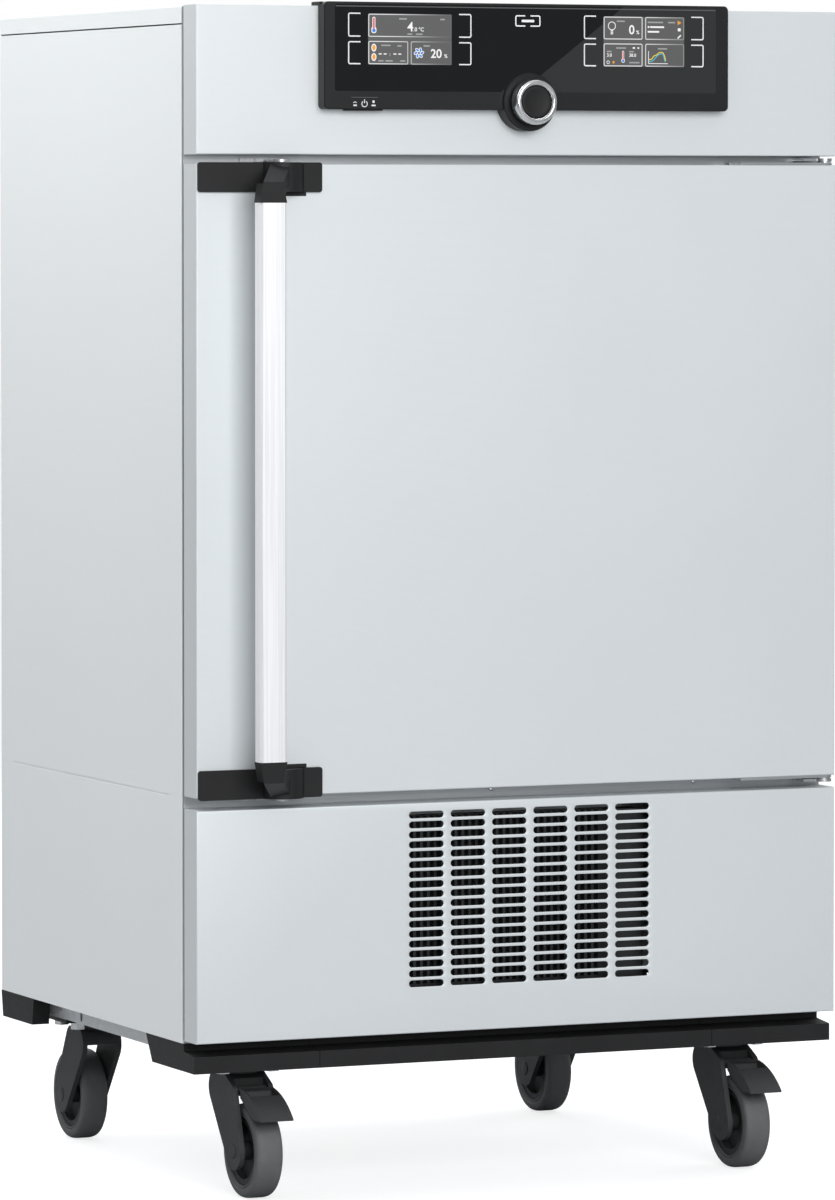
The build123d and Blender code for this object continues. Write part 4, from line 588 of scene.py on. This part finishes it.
def display_figures():
    """Numbers on the displays, and bars in place of the words."""
    white = Form()
    grey = Form()
    # Text, left end, foot, height of a digit
    numbers = (("4", 232.2, 1228.0, 9.6), (".0 °C", 239.2, 1228.0, 4.0),
               ("20", 258.8, 1200.4, 9.0), ("%", 274.4, 1200.4, 3.8),
               ("0", 489.4, 1227.6, 9.4), ("%", 498.0, 1227.6, 3.8),
               (":", 211.6, 1202.4, 3.2), ("3.0", 463.4, 1203.4, 3.4),
               ("38.0", 489.6, 1203.4, 3.4))
    for number in numbers:
        figures(white, *number, SIGNS)
    # Left end, right end, middle height: dashes of the clock, grey words, white words
    dashes = ((199.4, 202.8), (205.0, 208.4), (216.2, 219.6), (221.8, 225.2))
    grey_words = ((222.6, 231.6, 1240.8), (269.8, 275.2, 1240.6), (232.2, 237.8, 1224.9),
                  (242.0, 249.6, 1224.9), (202.2, 213.0, 1212.9), (220.6, 225.6, 1212.5),
                  (198.8, 205.0, 1196.7), (207.0, 215.4, 1196.7), (224.0, 229.8, 1196.7),
                  (250.6, 258.0, 1212.7), (475.2, 484.6, 1241.0), (474.4, 486.0, 1212.6),
                  (523.6, 534.6, 1212.2), (511.6, 529.8, 1240.2), (535.6, 544.0, 1240.2),
                  (463.4, 469.0, 1208.8), (489.6, 495.2, 1208.8), (489.8, 502.0, 1197.2))
    white_words = ((514.4, 531.0, 1235.2), (511.6, 525.2, 1230.2), (494.0, 496.6, 1212.8),
                   (499.6, 501.6, 1212.8))
    for x0, x1 in dashes:
        bar(white, x0, x1, 1203.9, 1.2, SIGNS)
    for word in grey_words:
        bar(grey, *word, 1.5, SIGNS)
    for word in white_words:
        bar(white, *word, 1.8, SIGNS)
    white.print_on("display_numbers", "screen", "picture_white")
    grey.print_on("display_bars", "screen", "picture_grey")


def capsule(x, low, high, narrow, wide):
    """A thermometer's outline: a narrow tube with a round top over a wider bulb."""
    corners = [(x - narrow, low + wide), (x - wide, low + wide), (x - wide, low - wide),
               (x + wide, low - wide), (x + wide, low + wide), (x + narrow, low + wide),
               (x + narrow, high), (x - narrow, high)]
    return rounded(corners, [0.2, wide, wide, wide, wide, 0.2, narrow, narrow])


def display_signs():
    """Generic signs on the displays, in six colours."""
    forms = {name: Form() for name in ("white", "red", "blue", "orange", "yellow", "cyan")}
    white = forms["white"]
    # Thermometers
    for x, low, high, size in ((193.9, 1228.4, 1242.6, 1.0), (482.6, 1199.0, 1209.6, 0.66)):
        half = 0.9 * size
        column = frame_line(x - half, x + half, low, high - size, 0.6 * size)
        fill(white, capsule(x, low, high, 1.7 * size, 2.9 * size), SIGNS)
        fill(forms["red"], column, OVER_SIGNS)
        fill(forms["blue"], oval(x, low, 2.0 * size, 2.0 * size), OVER_SIGNS - 0.03)
    # Hourglass
    for z in (1210.4, 1200.6):
        fill(white, oval(193.9, z, 2.9, 4.1), SIGNS)
        fill(forms["orange"], oval(193.9, z, 1.9, 2.9), OVER_SIGNS)
    # Fan
    for blade in range(6):
        turn = blade * math.pi / 3
        x, z = 245.4 + 3.5 * math.cos(turn), 1205.3 + 3.5 * math.sin(turn)
        fill(white, oval(x, z, 2.7, 1.7, turn + 0.55), SIGNS - 0.01 * blade)
        fill(forms["blue"], oval(x, z, 1.9, 1.0, turn + 0.55), OVER_SIGNS - 0.04)
    # Lamp
    stroke(white, oval(469.4, 1236.0, 4.2, 4.2), 0.8, SIGNS, closed=True)
    for z in (1230.8, 1229.2, 1227.6):
        bar(white, 467.9, 470.9, z, 1.0, SIGNS)
    # Dot, play, stop and pencil of the list
    fill(white, oval(512.6, 1235.2, 1.1, 1.1), SIGNS)
    fill(forms["orange"], np.array([(547.0, 1242.4), (547.0, 1237.6), (551.4, 1240.0)]), SIGNS)
    fill(white, frame_line(547.2, 550.6, 1231.0, 1234.2, 0.5), SIGNS)
    stroke(white, [(547.0, 1223.4), (550.8, 1226.8)], 1.4, SIGNS)
    # Clock and dot under the temperatures
    stroke(white, oval(465.0, 1197.4, 1.5, 1.5), 0.6, SIGNS, closed=True)
    fill(forms["orange"], oval(471.4, 1197.4, 1.3, 1.3), SIGNS)
    # Graph: two axes and two lines
    stroke(white, [(512.6, 1209.6), (512.6, 1196.4)], 0.7, SIGNS)
    stroke(white, [(512.3, 1196.4), (535.4, 1196.4)], 0.7, SIGNS)
    climb = [(513.0, 1200.8), (516.2, 1200.8), (519.0, 1204.8), (522.0, 1205.4),
             (525.0, 1208.2), (529.4, 1208.4), (531.8, 1204.2), (532.8, 1199.4)]
    stroke(forms["yellow"], rounded(climb, 1.2, 5, closed=False), 1.0, OVER_SIGNS)
    follow = [(513.0, 1198.6), (517.0, 1198.8), (520.2, 1201.8), (523.0, 1205.0),
              (526.4, 1206.8), (529.8, 1206.8), (532.2, 1198.2)]
    stroke(forms["cyan"], rounded(follow, 1.2, 5, closed=False), 1.0, OVER_SIGNS - 0.03)
    for name, form in forms.items():
        form.print_on(f"display_signs_{name}", "screen", f"picture_{name}")


def knob():
    """The knob's ring and dished cap, each a profile turned about the knob's axis."""
    ring = [(21.4, -24.6), (24.1, -24.6), (24.1, -35.6), (22.2, -38.5), (19.2, -38.5),
            (17.4, -36.8), (17.1, -25.0)]
    cap = [(0.01, -35.4), (9.0, -35.9), (14.5, -36.8), (16.9, -36.6), (16.9, -24.3),
           (21.5, -24.2), (21.5, -21.9), (0.01, -21.9)]
    pieces = (("knob_ring_turned", "knob_metal", "knob_ring", ring,
               [0.3, 0.6, 1.6, 1.4, 0.7, 0.7, 0.3]),
              ("knob_cap_dished", "black_plastic", "knob_cap", cap,
               [0, 3, 1.5, 0.9, 0.2, 0.5, 0.5, 0]))
    for name, slot, replaced, profile, radii in pieces:
        grid = turned(rounded(profile, radii, 5), "Y", (KNOB_X, 0.0, KNOB_Z))
        Form().sheet(grid, closed=True).piece(name, "knob", slot, [replaced])


def slot_cell():
    """A cell of sheet round one air slot. The outer points P lie on the cell's edge, and the
    slot's points are c + r (P - c) / |P - c|, where c is P's nearest point on the slot's middle
    line. The slot's front edge is rounded over 0.3."""
    half_x, half_z = SLOT_PITCH_X / 2, SLOT_PITCH_Z / 2
    corner = np.linspace(SLOT_END, half_x, 6)
    top_x = np.concatenate([-corner[::-1], corner])
    side_z = np.linspace(half_z, -half_z, 7)[1:-1]
    top = np.stack([top_x, np.full(len(top_x), half_z)], axis=-1)
    right = np.stack([np.full(len(side_z), half_x), side_z], axis=-1)
    edge = np.concatenate([top, right, -top, -right])
    middle = np.stack([np.clip(edge[:, 0], -SLOT_END, SLOT_END), np.zeros(len(edge))], axis=-1)
    away = (edge - middle) / np.linalg.norm(edge - middle, axis=1, keepdims=True)
    hole = middle + SLOT_RADIUS * away
    return np.stack([stand(edge, 0.0), stand(hole + 0.3 * away, 0.0),
                     stand(hole + 0.09 * away, 0.09), stand(hole, 0.3),
                     stand(hole, SHEET), stand(edge, SHEET)])


def folded_panel():
    """The lower panel. Its rim is a folded profile carried round the panel's rectangle: each row
    is the rectangle drawn in by an inset at a depth. Inside it are the cells of the air slots."""
    form = Form()
    cell = slot_cell()
    for column in range(SLOT_COLUMNS):
        x = SLOTS_X + (column - (SLOT_COLUMNS - 1) / 2) * SLOT_PITCH_X
        for row in range(SLOT_ROWS):
            form.sheet(cell + (x, 0.0, SLOTS_TOP - row * SLOT_PITCH_Z), closed=True)
    angle = np.linspace(0, np.pi / 2, 6)
    inset = np.concatenate([FOLD_ROUND - FOLD_ROUND * np.sin(angle), [0.0, SHEET, SHEET]])
    depth = np.concatenate([FOLD_ROUND - FOLD_ROUND * np.cos(angle),
                            [RIM_DEPTH, RIM_DEPTH, SHEET]])
    inwards = np.array([(1, 1), (-1, 1), (-1, -1), (1, -1)])
    low, high = PANEL_Z
    corners = np.array([(0.0, low), (CABINET_WIDTH, low), (CABINET_WIDTH, high), (0.0, high)])
    outline = corners + inwards * inset[:, None, None]
    depths = np.broadcast_to(depth[:, None], outline.shape[:2])
    rim = np.stack([outline[..., 0], depths, outline[..., 1]], axis=-1)
    half_x = SLOT_COLUMNS * SLOT_PITCH_X / 2
    left, right = SLOTS_X - half_x, SLOTS_X + half_x
    top = SLOTS_TOP + SLOT_PITCH_Z / 2
    foot = top - SLOT_ROWS * SLOT_PITCH_Z
    hole = np.array([(left, foot), (right, foot), (right, top), (left, top)])
    rows = [stand(hole, 0.0)[None], rim, stand(hole, SHEET)[None]]
    form.sheet(np.concatenate(rows), closed=True)
    form.piece("air_slot_panel", "cabinet", "textured_steel", ["lower_front_panel"], sharp=30)


def tyre(name, x, y):
    """One tyre: a running face with round shoulders, a lip and a groove on each side wall. The
    side is (radius, half width) from the bore outwards."""
    side = [(37.0, 12.0), (37.0, 14.0), (38.4, 14.4), (39.2, 13.4), (40.2, 13.4), (41.0, 15.0),
            (50.0, 14.4)]
    radii = [0.2, 0.4, 0.5, 0.3, 0.3, 1.5, 9.5]
    profile = side + [(radius, -width) for radius, width in reversed(side)]
    line = rounded(profile, radii + radii[::-1], 9)
    form = Form().sheet(turned(line, "X", (x, y, WHEEL_Z), 96), closed=True)
    form.piece(f"tyre_{name}", f"wheel_{name}", "tyre", [f"caster_tread_{name}"])


def screw(form, centre, axis, radius, height, way):
    """A low domed screw head: a quarter ellipse turned about its axis, over a rim of 0.35 of its
    height. The middle is a hole of 0.002, which merges into one point."""
    angle = np.linspace(0, np.pi / 2, 7)
    rise = way * height * (0.35 + 0.65 * np.sin(angle))
    dome = np.stack([radius * np.cos(angle), rise], axis=-1)
    dome[-1, 0] = 0.002
    profile = np.concatenate([[(0.002, 0.0), (radius, 0.0)], dome])
    form.sheet(turned(profile, axis, centre, 24), closed=True)


def screws():
    """Screw heads in the gap under the door and round the rear sheet's edge."""
    gap = Form()
    for x in (353.0, 593.0):
        screw(gap, (x, GAP_Y, GAP_Z), "Y", 3.0, 2.2, -1)
    gap.piece("gap_screws", "cabinet", "bright_zinc")
    rear = Form()
    places = [(x, z) for z in np.linspace(200.0, 1225.0, 8) for x in (12.0, 733.0)]
    places += [(x, z) for x in np.linspace(120.0, 625.0, 5) for z in (182.0, 1243.0)]
    for x, z in places:
        screw(rear, (x, REAR_Y, z), "Y", 4.0, 2.4, 1)
    rear.piece("rear_screws", "cabinet", "bright_zinc")


def casters():
    """The tyres, and the axle caps on the outer faces of the fork legs."""
    for name, (x, y) in CASTERS.items():
        tyre(name, x, y)
        caps = Form()
        for side in (-1, 1):
            screw(caps, (x + side * FORK_FACE, y, WHEEL_Z), "X", 8.0, 1.4, side)
        caps.piece(f"axle_caps_{name}", f"swivel_{name}", "caster_plastic")


key_brackets()
power_marks()
display_grounds()
display_figures()
display_signs()
knob()
folded_panel()
screws()
casters()


# Camera: fitted to the photograph, level but for a slight tilt
camera = bpy.data.objects.new("camera", bpy.data.cameras.new("camera"))
bpy.context.scene.collection.objects.link(camera)
bpy.context.scene.camera = camera
camera.data.lens = 205.61
camera.data.sensor_width = 36.0
camera.data.shift_x = 0.0005
camera.data.shift_y = -0.16
camera.location = (-2.6627 + LEFT, -6.5987 + FRONT, 1.0472)
camera.rotation_euler = (math.radians(90 - 1.707), 0, math.radians(-23.819))
camera.data.clip_start = 0.1
camera.data.clip_end = 60.0


def lamp(name, place, aim, size, power):
    """A large soft light that faces a point: places and sizes in metres, power in watts."""
    light = bpy.data.lights.new(name, "AREA")
    light.shape = "RECTANGLE"
    light.size, light.size_y = size
    light.energy = power
    made = bpy.data.objects.new(name, light)
    bpy.context.scene.collection.objects.link(made)
    made.location = place
    x, y, z = np.subtract(aim, place)
    made.rotation_euler = (math.atan2(math.hypot(x, y), -z), 0, math.atan2(-x, y))


lamp("left_softbox", (-1.5, 0.2, 2.3), (-0.37, 0.1, 1.1), (1.0, 1.6), 27)
lamp("front_softbox", (-0.6, -4.8, 2.2), (0.3, 0.0, 0.9), (3.0, 2.4), 176)
lamp("top_softbox", (0.0, 0.4, 3.6), (0.0, 0.0, 0.6), (3.0, 3.0), 20)
lamp("right_softbox", (3.2, 1.2, 2.2), (0.2, 0.0, 0.6), (2.0, 2.4), 34)
lamp("rear_softbox", (0.4, 4.2, 2.4), (0.0, 0.0, 0.6), (3.0, 2.4), 55)

# World: even grey light, and white where the camera sees it, straight or through glass
world = bpy.data.worlds.new("studio")
bpy.context.scene.world = world
world.use_nodes = True
tree = world.node_tree
tree.nodes.clear()
rays = tree.nodes.new("ShaderNodeLightPath")
seen = tree.nodes.new("ShaderNodeMath")
seen.operation = "MAXIMUM"
mixed = tree.nodes.new("ShaderNodeMixShader")
tree.links.new(rays.outputs["Is Camera Ray"], seen.inputs[0])
tree.links.new(rays.outputs["Is Transmission Ray"], seen.inputs[1])
tree.links.new(seen.outputs[0], mixed.inputs[0])
for socket, colour, strength in ((1, (0.97, 0.985, 1.0, 1), 0.44), (2, (1, 1, 1, 1), 1.0)):
    ground = tree.nodes.new("ShaderNodeBackground")
    ground.inputs[0].default_value = colour
    ground.inputs[1].default_value = strength
    tree.links.new(ground.outputs[0], mixed.inputs[socket])
world_out = tree.nodes.new("ShaderNodeOutputWorld")
tree.links.new(mixed.outputs[0], world_out.inputs[0])

# Floor: light grey that keeps the object's shadow, lifted to white only where the camera sees it
floor_finish = Finish("floor", Roughness=0.9, Base_Color=(0.42, 0.43, 0.44, 1))
floor_rays = floor_finish.node("LightPath", output="Is Camera Ray")
floor_finish.set(Emission_Color=(1, 1, 1, 1), Emission_Strength=floor_rays * 0.74)
floor = bpy.data.objects.new("floor", bpy.data.meshes.new("floor"))
corners = [(-30, -30, 0), (30, -30, 0), (30, 30, 0), (-30, 30, 0)]
floor.data.from_pydata(corners, [], [(0, 1, 2, 3)])
floor.data.materials.append(floor_finish.material)
bpy.context.scene.collection.objects.link(floor)

bpy.context.scene.view_settings.view_transform = "Standard"
